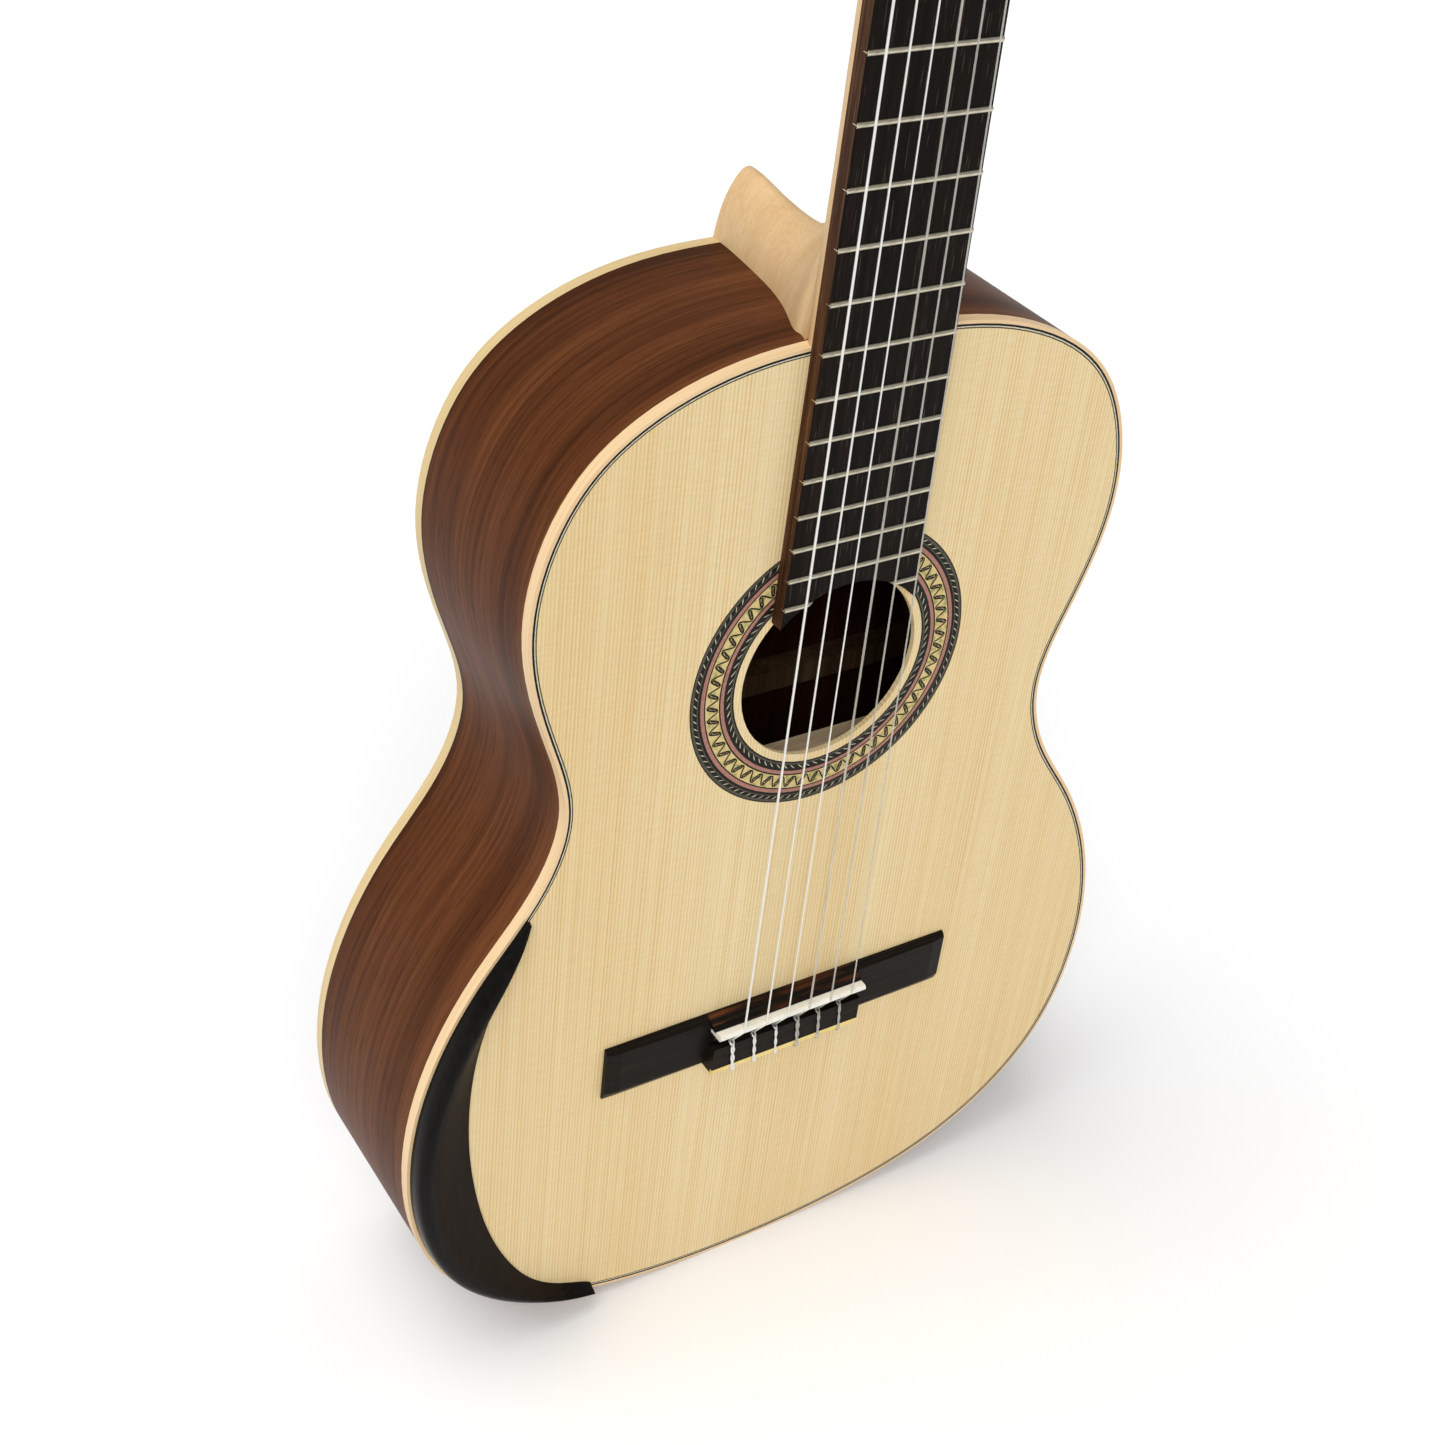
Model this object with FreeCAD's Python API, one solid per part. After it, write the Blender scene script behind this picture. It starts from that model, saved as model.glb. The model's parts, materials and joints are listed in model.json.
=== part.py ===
import FreeCAD, Part
import math
import os

# A full-size classical guitar, standing upright.
#
# Row frame, in millimetres: +Z runs up the neck, -Y points out of the
# soundboard, and -X is the bass side.
# The origin is where a wall hanger or stand holds the neck: on the centre
# line, at the nut end of the fingerboard, on the plane where the
# fingerboard is glued to the neck. That same plane is the soundboard's face.

V = FreeCAD.Vector

# ---------------------------------------------------------------- main sizes
SCALE = 650.0  # nut to the theoretical saddle line
SADDLE_Z = -SCALE
FRET_COUNT = 19
BODY_FRET = 12  # the neck meets the body here

# Half outline of the body on the treble side, from the neck end to the tail:
# half width, then height above the saddle line.
OUTLINE = [
    (0.0, 326.0),
    (45.1, 324.2),
    (85.3, 313.6),
    (117.8, 291.3),
    (134.5, 262.2),
    (140.3, 228.0),
    (130.3, 179.9),
    (119.6, 138.0),
    (130.0, 101.8),
    (153.6, 67.2),
    (173.0, 30.2),
    (184.0, -11.9),
    (184.3, -53.6),
    (168.3, -103.3),
    (125.1, -143.9),
    (60.2, -164.2),
    (0.0, -168.3),
]
BODY_TOP_Z = SADDLE_Z + OUTLINE[0][1]
BODY_TAIL_Z = SADDLE_Z + OUTLINE[-1][1]
BODY_LENGTH = BODY_TOP_Z - BODY_TAIL_Z
DEPTH_NECK = 96.5  # soundboard face to back face on the centre line
DEPTH_TAIL = 98.0
BACK_ARCH_RADIUS = 8000.0  # the back is arched across its width
OUTLINE_SAMPLES = 56  # points along half of each inset outline
DEEP = DEPTH_TAIL + 10.0  # beyond the back everywhere
BACK_ZONE = 60.0  # everything fitted to the back lies deeper than this

# Plates, ribs and edge work
TOP_THICKNESS = 2.4
BACK_THICKNESS = 2.6
RIB = 1.5  # thickness of the sides and width of both bindings
TOP_BINDING_HEIGHT = 5.3
BACK_BINDING_HEIGHT = 5.5
PURFLING_WIDTH = 1.9
PURFLING_DEPTH = 1.2
LINING_WIDTH = 5.2
LINING_HEIGHT = 14.0

# Blocks and bracing
BLOCK_HALF_WIDTH = 35.0
NECK_BLOCK_LENGTH = 44.0
TAIL_BLOCK_LENGTH = 18.0
BRACE_GAP = 0.5  # braces stop just short of the linings and blocks
BRACE_WIDTH = 6.0
HARMONIC_BARS = [SADDLE_Z + 129.0, SADDLE_Z + 232.0]
HARMONIC_BAR_HEIGHT = 14.0
BACK_BRACES = [SADDLE_Z - 82.0, SADDLE_Z + 8.0, SADDLE_Z + 108.5, SADDLE_Z + 240.0]
BACK_BRACE_WIDTH = 11.0
BACK_BRACE_HEIGHT = 11.0
STRIP_HALF_WIDTH = 9.0
STRIP_THICKNESS = 1.6
FAN_COUNT = 7
FAN_HEIGHT = 5.0
FAN_TOP = SADDLE_Z + 118.0
FAN_BOTTOM = SADDLE_Z - 128.0
FAN_MARGIN = 16.0  # from the outline to the ends of the struts
FAN_SPREAD = 4.2  # degrees between neighbours
FAN_PITCH = 17.0  # distance between neighbours at their upper ends

# Soundhole and rosette
HOLE_Z = SADDLE_Z + 177.9
HOLE_RADIUS = 42.4
ROSETTE_OUTER = 66.5
ROSETTE_INNER = 46.0
ROSETTE_DEPTH = 0.8

# Fingerboard, frets, nut and neck
BOARD_THICKNESS = 6.4
BOARD_WIDTH_NUT = 51.0
BOARD_WIDTH_12TH = 61.0
BOARD_CUTOUT_RADIUS = 44.1
FRET_HEIGHT = 1.0
FRET_WIDTH = 2.2
FRET_TANG = 0.55
FRET_TANG_DEPTH = 1.8
NUT_THICKNESS = 5.0
NUT_HEIGHT = 9.2
NECK_DEPTH_NUT = 15.5
NECK_DEPTH_BODY = 17.5
NECK_ROUNDNESS = 1.8  # power of the superellipse behind the fingerboard
HEAD_ROUNDNESS = 4.0  # the same where the head is spliced on
NECK_STATIONS = [-275.0, -225.0, -175.0, -125.0, -75.0, -24.0]
HEEL_LET_IN = 2.0  # how far the heel is scribed round the curve of the ribs
HEEL_CAP_THICKNESS = 3.0
# The heel: depth, half width on the body, and length up the neck
HEEL = [
    (6.0, 30.0, 90.0),
    (13.0, 29.0, 66.0),
    (20.0, 27.0, 44.0),
    (30.0, 23.0, 31.0),
    (44.0, 19.0, 24.2),
    (62.0, 16.2, 23.2),
    (80.0, 14.2, 25.6),
    (93.5, 13.6, 27.4),
]

# Strings: number, diameter and tuner place. String 1 is the treble E.
STRING_DIAMETERS = {1: 0.72, 2: 0.82, 3: 1.02, 4: 0.76, 5: 0.90, 6: 1.10}
STRING_PITCH_NUT = 8.52
STRING_PITCH_SADDLE = 11.76
STRING_OFFSET_NUT = -0.4
STRING_OFFSET_SADDLE = 2.7  # the strings run a little towards the treble side
STRING_HEIGHT_NUT = 8.6
STRING_HEIGHT_SADDLE = 13.0
STRING_AT_ROLLER = 18.5  # centre line to where a string meets its roller
ROLLER_STRING_GAP = 0.35  # a string passes its roller without touching
GROOVE_PLAY = 0.1  # in the diameter of the grooves in nut and saddle
REST_GAP = 0.1  # between a string and the block it is tied over
TIE_GAP = 0.3  # between a string and the block's rear face

# Bridge, measured from the saddle line
BRIDGE_LENGTH = 184.0
BRIDGE_FRONT = 1.6
BRIDGE_REAR = -28.0
WING_TOP = 4.4
WING_END = 2.6
WING_BEVEL = 7.0
WING_FLAT = -24.0  # the wing's flat top ends here and slopes to the rear
BLOCK_LENGTH = 80.0
SADDLE_BED_HEIGHT = 8.6
SADDLE_BED_REAR = -7.8
SADDLE_THICKNESS = 3.2
SADDLE_LENGTH = 79.0
SADDLE_FRONT = -3.0
SADDLE_TOP = 12.8
SADDLE_EDGE = 0.9  # the crown is bevelled down by this
SADDLE_SLOT_DEPTH = 4.2  # the slot is open at the ends of the block
SADDLE_SHIFT = 0.3  # towards the treble side
CHANNEL_FRONT = -10.2
TIE_BLOCK_FRONT = -13.0
TIE_BLOCK_TOP = 9.8
TIE_CHANNEL_HEIGHT = 5.0
TIE_HOLE_RADIUS = 1.1
TIE_HOLE_HEIGHT = 6.4
TIE_TRIM_WIDTH = 2.4
TIE_TRIM_THICKNESS = 1.6
TIE_HOLE_SHIFT = 3.4  # each hole lies this far to the bass side of its string
TIE_LOOP_SHIFT = 2.6  # each string's end lies this far to the bass side of it

# Armrest on the bass side of the lower bout: share of the half outline from
# the neck end, then the armrest's width and height there
ARMREST = [
    (0.458, 2.0, 3.5),
    (0.466, 3.6, 5.5),
    (0.478, 6.2, 7.5),
    (0.50, 10.4, 9.0),
    (0.545, 16.6, 9.5),
    (0.595, 23.2, 9.5),
    (0.65, 28.0, 9.5),
    (0.70, 28.9, 9.5),
    (0.757, 24.2, 9.5),
    (0.79, 17.6, 9.5),
    (0.822, 9.8, 9.0),
    (0.852, 5.4, 8.0),
    (0.877, 3.0, 6.5),
]
ARMREST_ROLL = 4.5  # outer edge to crest
ARMREST_EDGE = 0.9  # height of the thin inner edge

# Head, tilted back from the nut; its parts are drawn untilted first
HEAD_TILT = 15.0
HEAD_LENGTH = 192.0
HEAD_HALF_WIDTH = 36.5
HEAD_BASE_HALF_WIDTH = 27.0
HEAD_THICKNESS = 18.0
VENEER_THICKNESS = 2.0
SLOT_INNER = 9.5
SLOT_OUTER = 25.0
SLOT_BOTTOM = 20.0
SLOT_TOP = 150.0
HEAD_FLARE_START = 4.0
HEAD_FLARE_END = 30.0
HEAD_SHOULDER = 160.0
VOLUTE = 0.6  # how much thicker the neck is where the head is spliced on

# Tuning machines
ROLLER_PLACES = [60.0, 95.0, 130.0]  # up the head from the nut
ROLLER_DEPTH = 9.0  # behind the wood's face
ROLLER_RADIUS = 5.0
ROLLER_PLAY = 0.08
SPINDLE_RADIUS = 2.5
SPINDLE_PLAY = 0.05
PLATE_THICKNESS = 1.0
PLATE_WIDTH = 16.0
PLATE_BOTTOM = 43.0
PLATE_TOP = 151.0
GEAR_TEETH = 14
GEAR_MODULE = 0.9
GEAR_THICKNESS = 4.0
WORM_OFFSET = 42.2  # centre line to worm axis, across the head
WORM_PITCH_RADIUS = 2.4
WORM_TIP_RADIUS = 3.2
WORM_ROOT_RADIUS = 1.6
WORM_TURNS = 2.5
WORM_SHAFT_RADIUS = 1.5
BUTTON_FRONT = 20.0
BUTTON_LENGTH = 17.0
# Share of the button's length, half its breadth, half its thickness
BUTTON_RINGS = [
    (0.0, 3.4, 3.2),
    (0.18, 4.0, 3.5),
    (0.42, 7.2, 4.2),
    (0.70, 8.2, 4.5),
    (0.92, 7.0, 3.7),
    (1.0, 5.2, 2.4),
]
PLATE_CORNER = 5.0  # radius of the plates' corners
BRACKET_BASE = 0.8  # thickness against the plate
BRACKET_HALF = 3.4  # half its length along the head
EAR_FRONT = 1.9  # front face of the front ear, behind the wood's face
EAR_THICKNESS = 2.0
EAR_REACH = 3.2  # beyond the worm's axis
EAR_CORNER = 2.4
COLLAR_RADIUS = 3.6
SCREW_PLACES = [47.5, 80.0, 115.0, 146.5]
SCREW_RADIUS = 1.2
SCREW_LENGTH = 9.0
SCREW_HEAD_RADIUS = 2.6

SLOT_FLOOR = SADDLE_BED_HEIGHT - SADDLE_SLOT_DEPTH
GEAR_PITCH_RADIUS = GEAR_MODULE * GEAR_TEETH / 2
WORM_PITCH = math.pi * GEAR_MODULE
WORM_RISE = GEAR_PITCH_RADIUS + WORM_PITCH_RADIUS  # roller axis to worm axis
LEAD_SLOPE = WORM_PITCH / (2 * math.pi * WORM_PITCH_RADIUS)
ROLLER_LIMIT = SLOT_INNER - 3.5  # inner end of a roller, in its blind bore
BUTTON_BORE = 0.7 * BUTTON_LENGTH
PLATE_FACE = HEAD_HALF_WIDTH + PLATE_THICKNESS
GEAR_FACE = WORM_OFFSET - GEAR_THICKNESS / 2
# Tuner of each string: side of the head (-1 bass, +1 treble), then its place
TUNERS = {1: (1, 0), 2: (1, 1), 3: (1, 2), 4: (-1, 2), 5: (-1, 1), 6: (-1, 0)}


# ------------------------------------------------------------------- helpers
def save(name, *solids):
    """Write one node from its solids."""
    shape = solids[0] if len(solids) == 1 else Part.makeCompound(list(solids))
    shape.exportStep(f"parts/{name}.step")
    print(name, len(shape.Solids), round(shape.Volume, 1), shape.isValid())


def box(x0, x1, y0, y1, z0, z1):
    """A block between two corners."""
    return Part.makeBox(x1 - x0, y1 - y0, z1 - z0, V(x0, y0, z0))


def rod(start, end, radius):
    """A round bar between two points."""
    along = end - start
    return Part.makeCylinder(radius, along.Length, start, along)


def disc(x, z, y0, y1, radius):
    """A round plate lying in the plane of the soundboard."""
    return Part.makeCylinder(radius, y1 - y0, V(x, y0, z), V(0, 1, 0))


def loop(points):
    """A face with straight sides."""
    return Part.Face(Part.makePolygon(list(points) + [points[0]]))


def spline(points, start=None, end=None):
    """One smooth edge through its points, with optional end directions."""
    curve = Part.BSplineCurve()
    if start is None:
        curve.interpolate(Points=points)
    else:
        curve.interpolate(Points=points, InitialTangent=start, FinalTangent=end, Scale=False)
    return curve.toShape()


def mirrored(shape):
    """The same shape on the other side of the centre line."""
    return shape.mirror(V(0, 0, 0), V(1, 0, 0))


def fret_height(number):
    """Height of a fret in the row frame."""
    return -SCALE * (1 - 2 ** (-number / 12))


def board_half_width(z):
    """Half width of the fingerboard and neck at a height."""
    grow = (BOARD_WIDTH_12TH - BOARD_WIDTH_NUT) / 2
    return BOARD_WIDTH_NUT / 2 + grow * z / fret_height(BODY_FRET)


# ------------------------------------------------------------- body outline
HALF_CURVE = Part.BSplineCurve()
HALF_CURVE.interpolate(
    Points=[V(x, 0, SADDLE_Z + up) for x, up in OUTLINE],
    InitialTangent=V(1, 0, 0),
    FinalTangent=V(-1, 0, 0),
    Scale=False,
)


def inset_point(share, inset):
    """A point at a share of the treble half outline's length, moved inwards."""
    start = HALF_CURVE.FirstParameter
    at = HALF_CURVE.parameterAtDistance(HALF_CURVE.length() * share, start)
    run = HALF_CURVE.tangent(at)[0]
    return HALF_CURVE.value(at) + V(run.z, 0, -run.x) * inset


def outline_face(inset):
    """The body's outline, moved inwards, as a face on the soundboard plane."""
    shares = [i / OUTLINE_SAMPLES for i in range(OUTLINE_SAMPLES + 1)]
    points = [inset_point(share, inset) for share in shares]
    points[0].x = 0.0
    points[-1].x = 0.0
    half = spline(points, V(1, 0, 0), V(-1, 0, 0))
    return Part.Face(Part.Wire([half, mirrored(half)]))


def slab(inset, y0, y1):
    """The outline, inset, as a plate between two depths."""
    face = outline_face(inset)
    face.translate(V(0, y0, 0))
    return face.extrude(V(0, y1 - y0, 0))


def band(outer, inner, y0, y1):
    """A strip that follows the outline between two insets."""
    return slab(outer, y0, y1).cut(slab(inner, y0 - 1, y1 + 1))


def arch(offset):
    """All that lies in front of the arched back, less an offset."""
    margin = 60.0
    taper = (DEPTH_NECK - DEPTH_TAIL) / BODY_LENGTH
    base_z = BODY_TAIL_Z - margin
    base_y = DEPTH_TAIL - taper * margin - BACK_ARCH_RADIUS
    return Part.makeCylinder(
        BACK_ARCH_RADIUS - offset,
        BODY_LENGTH + 2 * margin,
        V(0, base_y, base_z),
        V(0, taper, 1),
    )


# -------------------------------------------------------------------- body
def make_soundboard():
    board = slab(RIB, 0, TOP_THICKNESS)
    board = board.cut(disc(0, HOLE_Z, -1, TOP_THICKNESS + 1, HOLE_RADIUS))
    board = board.cut(rosette_ring())
    return board.cut(band(RIB, RIB + PURFLING_WIDTH, 0, PURFLING_DEPTH))


def rosette_ring():
    outer = disc(0, HOLE_Z, 0, ROSETTE_DEPTH, ROSETTE_OUTER)
    return outer.cut(disc(0, HOLE_Z, -1, ROSETTE_DEPTH + 1, ROSETTE_INNER))


def make_body():
    save("soundboard", make_soundboard())
    save("rosette", rosette_ring())
    save("top_purfling", band(RIB, RIB + PURFLING_WIDTH, 0, PURFLING_DEPTH))
    save("top_binding", band(0, RIB, 0, TOP_BINDING_HEIGHT))
    back = slab(RIB, BACK_ZONE, DEEP).common(arch(0))
    save("back", back.cut(arch(BACK_THICKNESS)))
    binding = band(0, RIB, BACK_ZONE, DEEP).common(arch(0))
    save("back_binding", binding.cut(arch(BACK_BINDING_HEIGHT)))
    rib = band(0, RIB, TOP_BINDING_HEIGHT, DEEP).common(arch(BACK_BINDING_HEIGHT))
    reach = BODY_LENGTH
    room = (-1, DEEP, BODY_TAIL_Z - 10, BODY_TOP_Z + 10)
    save("bass_side", rib.common(box(-reach, 0, *room)))
    save("treble_side", rib.common(box(0, reach, *room)))


def make_blocks():
    """Neck and tail blocks, and the linings that end against them."""
    inside = slab(RIB, TOP_THICKNESS, DEEP).common(arch(BACK_THICKNESS))
    half = BLOCK_HALF_WIDTH
    neck_zone = box(-half, half, 0, DEEP, BODY_TOP_Z - NECK_BLOCK_LENGTH, BODY_TOP_Z)
    tail_zone = box(-half, half, 0, DEEP, BODY_TAIL_Z, BODY_TAIL_Z + TAIL_BLOCK_LENGTH)
    save("neck_block", inside.common(neck_zone))
    save("tail_block", inside.common(tail_zone))
    edge = (RIB, RIB + LINING_WIDTH)
    front = band(*edge, TOP_THICKNESS, TOP_THICKNESS + LINING_HEIGHT)
    rear = band(*edge, BACK_ZONE, DEEP).common(arch(BACK_THICKNESS))
    rear = rear.cut(arch(BACK_THICKNESS + LINING_HEIGHT))
    pieces = []
    for ring in (front, rear):
        pieces += ring.cut(neck_zone).cut(tail_zone).Solids
    save("linings", *pieces)


def brace(z, height, width, front):
    """A bar across the body, under the soundboard or against the back."""
    half = BODY_LENGTH
    bar = box(-half, half, 0, DEEP, z - width / 2, z + width / 2)
    inset = RIB + LINING_WIDTH + BRACE_GAP
    if front:
        return bar.common(slab(inset, TOP_THICKNESS, TOP_THICKNESS + height))
    room = slab(inset, BACK_ZONE, DEEP).common(arch(BACK_THICKNESS))
    return bar.common(room.cut(arch(BACK_THICKNESS + height)))


def make_fan():
    """Fan struts under the lower bout, spreading towards the tail."""
    struts = []
    room = slab(FAN_MARGIN, TOP_THICKNESS, TOP_THICKNESS + FAN_HEIGHT)
    half = BRACE_WIDTH / 2
    for i in range(FAN_COUNT):
        place = i - (FAN_COUNT - 1) / 2
        strut = box(-half, half, 0, DEEP, FAN_BOTTOM - FAN_TOP, 0)
        strut.rotate(V(0, 0, 0), V(0, 1, 0), -FAN_SPREAD * place)
        strut.translate(V(FAN_PITCH * place, 0, FAN_TOP))
        struts += strut.common(room).Solids
    return struts


def make_bracing():
    bars = [brace(z, HARMONIC_BAR_HEIGHT, BRACE_WIDTH, True) for z in HARMONIC_BARS]
    save("harmonic_bars", *bars)
    save("fan_braces", *make_fan())
    ribs = [brace(z, BACK_BRACE_HEIGHT, BACK_BRACE_WIDTH, False) for z in BACK_BRACES]
    save("back_braces", *ribs)
    strip = box(-STRIP_HALF_WIDTH, STRIP_HALF_WIDTH, BACK_ZONE, DEEP,
                BODY_TAIL_Z + TAIL_BLOCK_LENGTH + BRACE_GAP,
                BODY_TOP_Z - NECK_BLOCK_LENGTH - BRACE_GAP)
    strip = strip.common(arch(BACK_THICKNESS))
    strip = strip.cut(arch(BACK_THICKNESS + STRIP_THICKNESS))
    for rib in ribs:
        strip = strip.cut(rib)
    save("back_centre_strip", *strip.Solids)


# ------------------------------------------------------------ neck and heel
def d_section(z, half, depth, power):
    """The neck's section at a height: flat in front and a superellipse behind.
    A power of 2 makes an ellipse, and a larger one makes it squarer."""
    points = []
    for step in range(4):
        angle = math.pi / 8 * step
        across, deep = math.cos(angle) ** (2 / power), math.sin(angle) ** (2 / power)
        points.append(V(half * across, depth * deep, z))
    points.append(V(0, depth, z))
    side = spline(points, V(0, 1, 0), V(-1, 0, 0))
    front = Part.makeLine(V(-half, 0, z), V(half, 0, z))
    return Part.Wire([front, side, mirrored(side)])


def neck_section(z):
    """The neck's section along its straight taper."""
    share = z / BODY_TOP_Z
    depth = NECK_DEPTH_NUT + (NECK_DEPTH_BODY - NECK_DEPTH_NUT) * share
    return d_section(z, board_half_width(z), depth, NECK_ROUNDNESS)


def heel_section(y, half, length):
    """The heel's section at a depth: flat on the body, pointed towards the head."""
    points = [
        V(half, y, BODY_TOP_Z - HEEL_LET_IN),
        V(half * 0.80, y, BODY_TOP_Z + length * 0.42),
        V(half * 0.42, y, BODY_TOP_Z + length * 0.83),
        V(0, y, BODY_TOP_Z + length),
    ]
    side = spline(points, V(-0.2, 0, 0.98), V(-1, 0, 0))
    foot = BODY_TOP_Z - HEEL_LET_IN
    base = Part.makeLine(V(-half, y, foot), V(half, y, foot))
    return Part.Wire([base, side, mirrored(side)])


def make_neck():
    splice = d_section(NUT_THICKNESS, HEAD_BASE_HALF_WIDTH, HEAD_THICKNESS + VOLUTE, HEAD_ROUNDNESS)
    stations = [BODY_TOP_Z - HEEL_LET_IN] + NECK_STATIONS
    sections = [neck_section(z) for z in stations] + [splice]
    shaft = Part.makeLoft(sections, True, False)
    heel = Part.makeLoft([heel_section(*row) for row in HEEL], True, False)
    ribs = slab(0, -1, DEEP)
    save("neck", shaft.fuse(heel).cut(ribs).removeSplitter())
    cap = Part.Face(heel_section(*HEEL[-1])).extrude(V(0, HEEL_CAP_THICKNESS, 0))
    save("heel_cap", cap.cut(ribs))


def board_profile():
    """The fingerboard's outline with its curved end over the soundhole."""
    end_z = HOLE_Z + 20.0
    half = board_half_width(end_z)
    nut = BOARD_WIDTH_NUT / 2
    corners = [V(-nut, 0, 0), V(nut, 0, 0), V(half, 0, end_z), V(-half, 0, end_z)]
    return loop(corners)


def board_solid(thickness):
    blank = board_profile().extrude(V(0, -thickness, 0))
    return blank.cut(disc(0, HOLE_Z, -20, 1, BOARD_CUTOUT_RADIUS))


def fret(number):
    """Crown and tang of one fret across the board."""
    full = board_half_width(fret_height(number))
    half = full - 0.3
    side = FRET_WIDTH / 2
    face = -BOARD_THICKNESS
    crown = Part.Wire([
        Part.makeLine(V(-half, face, -side), V(-half, face, side)),
        Part.Arc(V(-half, face, side), V(-half, face - FRET_HEIGHT, 0),
                 V(-half, face, -side)).toShape(),
    ])
    rail = Part.Face(crown).extrude(V(2 * half, 0, 0))
    slot = FRET_TANG / 2
    tang = box(-full, full, face, face + FRET_TANG_DEPTH, -slot, slot)
    whole = rail.fuse(tang)
    whole.translate(V(0, 0, fret_height(number)))
    return whole


def make_fingerboard():
    board = board_solid(BOARD_THICKNESS)
    over_hole = disc(0, HOLE_Z, -20, 1, BOARD_CUTOUT_RADIUS)
    frets = [fret(n) for n in range(1, FRET_COUNT + 1)]
    frets[-1] = frets[-1].cut(over_hole)
    for one in frets:
        board = board.cut(one)
    save("fingerboard", board)
    save("frets", *[solid for one in frets for solid in one.Solids])


# ------------------------------------------------------------------ strings
def tilt(shape):
    """Lean a head part back about the top of the nut."""
    shape.rotate(V(0, 0, 0), V(1, 0, 0), -HEAD_TILT)
    shape.translate(V(0, 0, NUT_THICKNESS))
    return shape


def tilt_point(point):
    """The same for a point."""
    turn = FreeCAD.Rotation(V(1, 0, 0), -HEAD_TILT)
    return turn.multVec(point) + V(0, 0, NUT_THICKNESS)


def untilt_point(point):
    turn = FreeCAD.Rotation(V(1, 0, 0), HEAD_TILT)
    return turn.multVec(point - V(0, 0, NUT_THICKNESS))


def tangent_point(start, centre_y, centre_z, reach):
    """Where a line from start touches a roller's circle, on its front side."""
    dy, dz = centre_y - start.y, centre_z - start.z
    far = math.hypot(dy, dz)
    heading = math.atan2(dz, dy)
    turn = math.acos(reach / far)
    angle = heading + math.pi - turn
    return centre_y + reach * math.cos(angle), centre_z + reach * math.sin(angle)


def rounded_path(points, radii):
    """Straight runs joined by tangent arcs, one radius for each inner point."""
    edges = []
    at = points[0]
    for i in range(1, len(points) - 1):
        corner = points[i]
        back = (points[i - 1] - corner).normalize()
        ahead = (points[i + 1] - corner).normalize()
        half = back.getAngle(ahead) / 2
        reach = radii[i - 1] / math.tan(half)
        inward = (back + ahead).normalize()
        start, end = corner + back * reach, corner + ahead * reach
        deep = radii[i - 1] / math.sin(half) - radii[i - 1]
        edges.append(Part.makeLine(at, start))
        edges.append(Part.Arc(start, corner + inward * deep, end).toShape())
        at = end
    edges.append(Part.makeLine(at, points[-1]))
    return Part.Wire(edges)


def string_route(number):
    """A string's centre line, from its tie on the bridge to its roller."""
    radius = STRING_DIAMETERS[number] / 2
    place = 3.5 - number
    at_nut = STRING_OFFSET_NUT + STRING_PITCH_NUT * place
    at_saddle = STRING_OFFSET_SADDLE + STRING_PITCH_SADDLE * place
    crown = SADDLE_Z + SADDLE_FRONT - SADDLE_THICKNESS / 2
    nut = V(at_nut, -STRING_HEIGHT_NUT, NUT_THICKNESS / 2)
    saddle = V(at_saddle, -STRING_HEIGHT_SADDLE, crown)
    front = SADDLE_Z + TIE_BLOCK_FRONT
    rear = SADDLE_Z + BRIDGE_REAR - radius - TIE_GAP
    over = -TIE_BLOCK_TOP - radius - REST_GAP
    hole = at_saddle - TIE_HOLE_SHIFT
    end = at_saddle - TIE_LOOP_SHIFT
    side, place_up = TUNERS[number]
    start = untilt_point(nut)
    reach = ROLLER_RADIUS + radius + ROLLER_STRING_GAP
    y, z = tangent_point(start, ROLLER_DEPTH, ROLLER_PLACES[place_up], reach)
    return [
        V(end, over, front),
        V(end, over, rear),
        V(hole, -TIE_HOLE_HEIGHT, rear),
        V(hole, -TIE_HOLE_HEIGHT, front + 1.5),
        saddle,
        nut,
        tilt_point(V(side * STRING_AT_ROLLER, y, z)),
    ]


def string_solid(number, extra=0.0):
    radius = (STRING_DIAMETERS[number] + extra) / 2
    turn = STRING_DIAMETERS[number] * 0.9
    path = rounded_path(string_route(number), [turn, turn, 2.5, 3.0, 6.0])
    start = path.Vertexes[0].Point
    ahead = path.Edges[0].tangentAt(path.Edges[0].FirstParameter)
    ring = Part.Wire([Part.makeCircle(radius, start, ahead)])
    return path.makePipeShell([ring], True, False)


# ----------------------------------------------------------- bridge and nut
def across_bridge(points, x0, x1):
    """A length of bridge with one section, given as pairs: distance up the
    body from the saddle line, and height off the soundboard."""
    face = loop([V(x0, -rise, SADDLE_Z + up) for up, rise in points])
    return face.extrude(V(x1 - x0, 0, 0))


def wing_section(x, top, lip):
    """The wing's section: bevelled in front, sloping to a thin rear edge."""
    corners = [
        (BRIDGE_FRONT, 0.0),
        (BRIDGE_FRONT, lip),
        (BRIDGE_FRONT - 2.2, top),
        (WING_FLAT, top),
        (BRIDGE_REAR, lip),
        (BRIDGE_REAR, 0.0),
        (BRIDGE_FRONT, 0.0),
    ]
    return Part.makePolygon([V(x, -rise, SADDLE_Z + up) for up, rise in corners])


def bridge_wing():
    start = BLOCK_LENGTH / 2 - 0.5
    end = BRIDGE_LENGTH / 2
    sections = [
        wing_section(start, WING_TOP, 1.5),
        wing_section(end - WING_BEVEL, WING_TOP - 0.7, 1.3),
        wing_section(end, WING_END, 1.0),
    ]
    return Part.makeLoft(sections, True, True)


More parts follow.
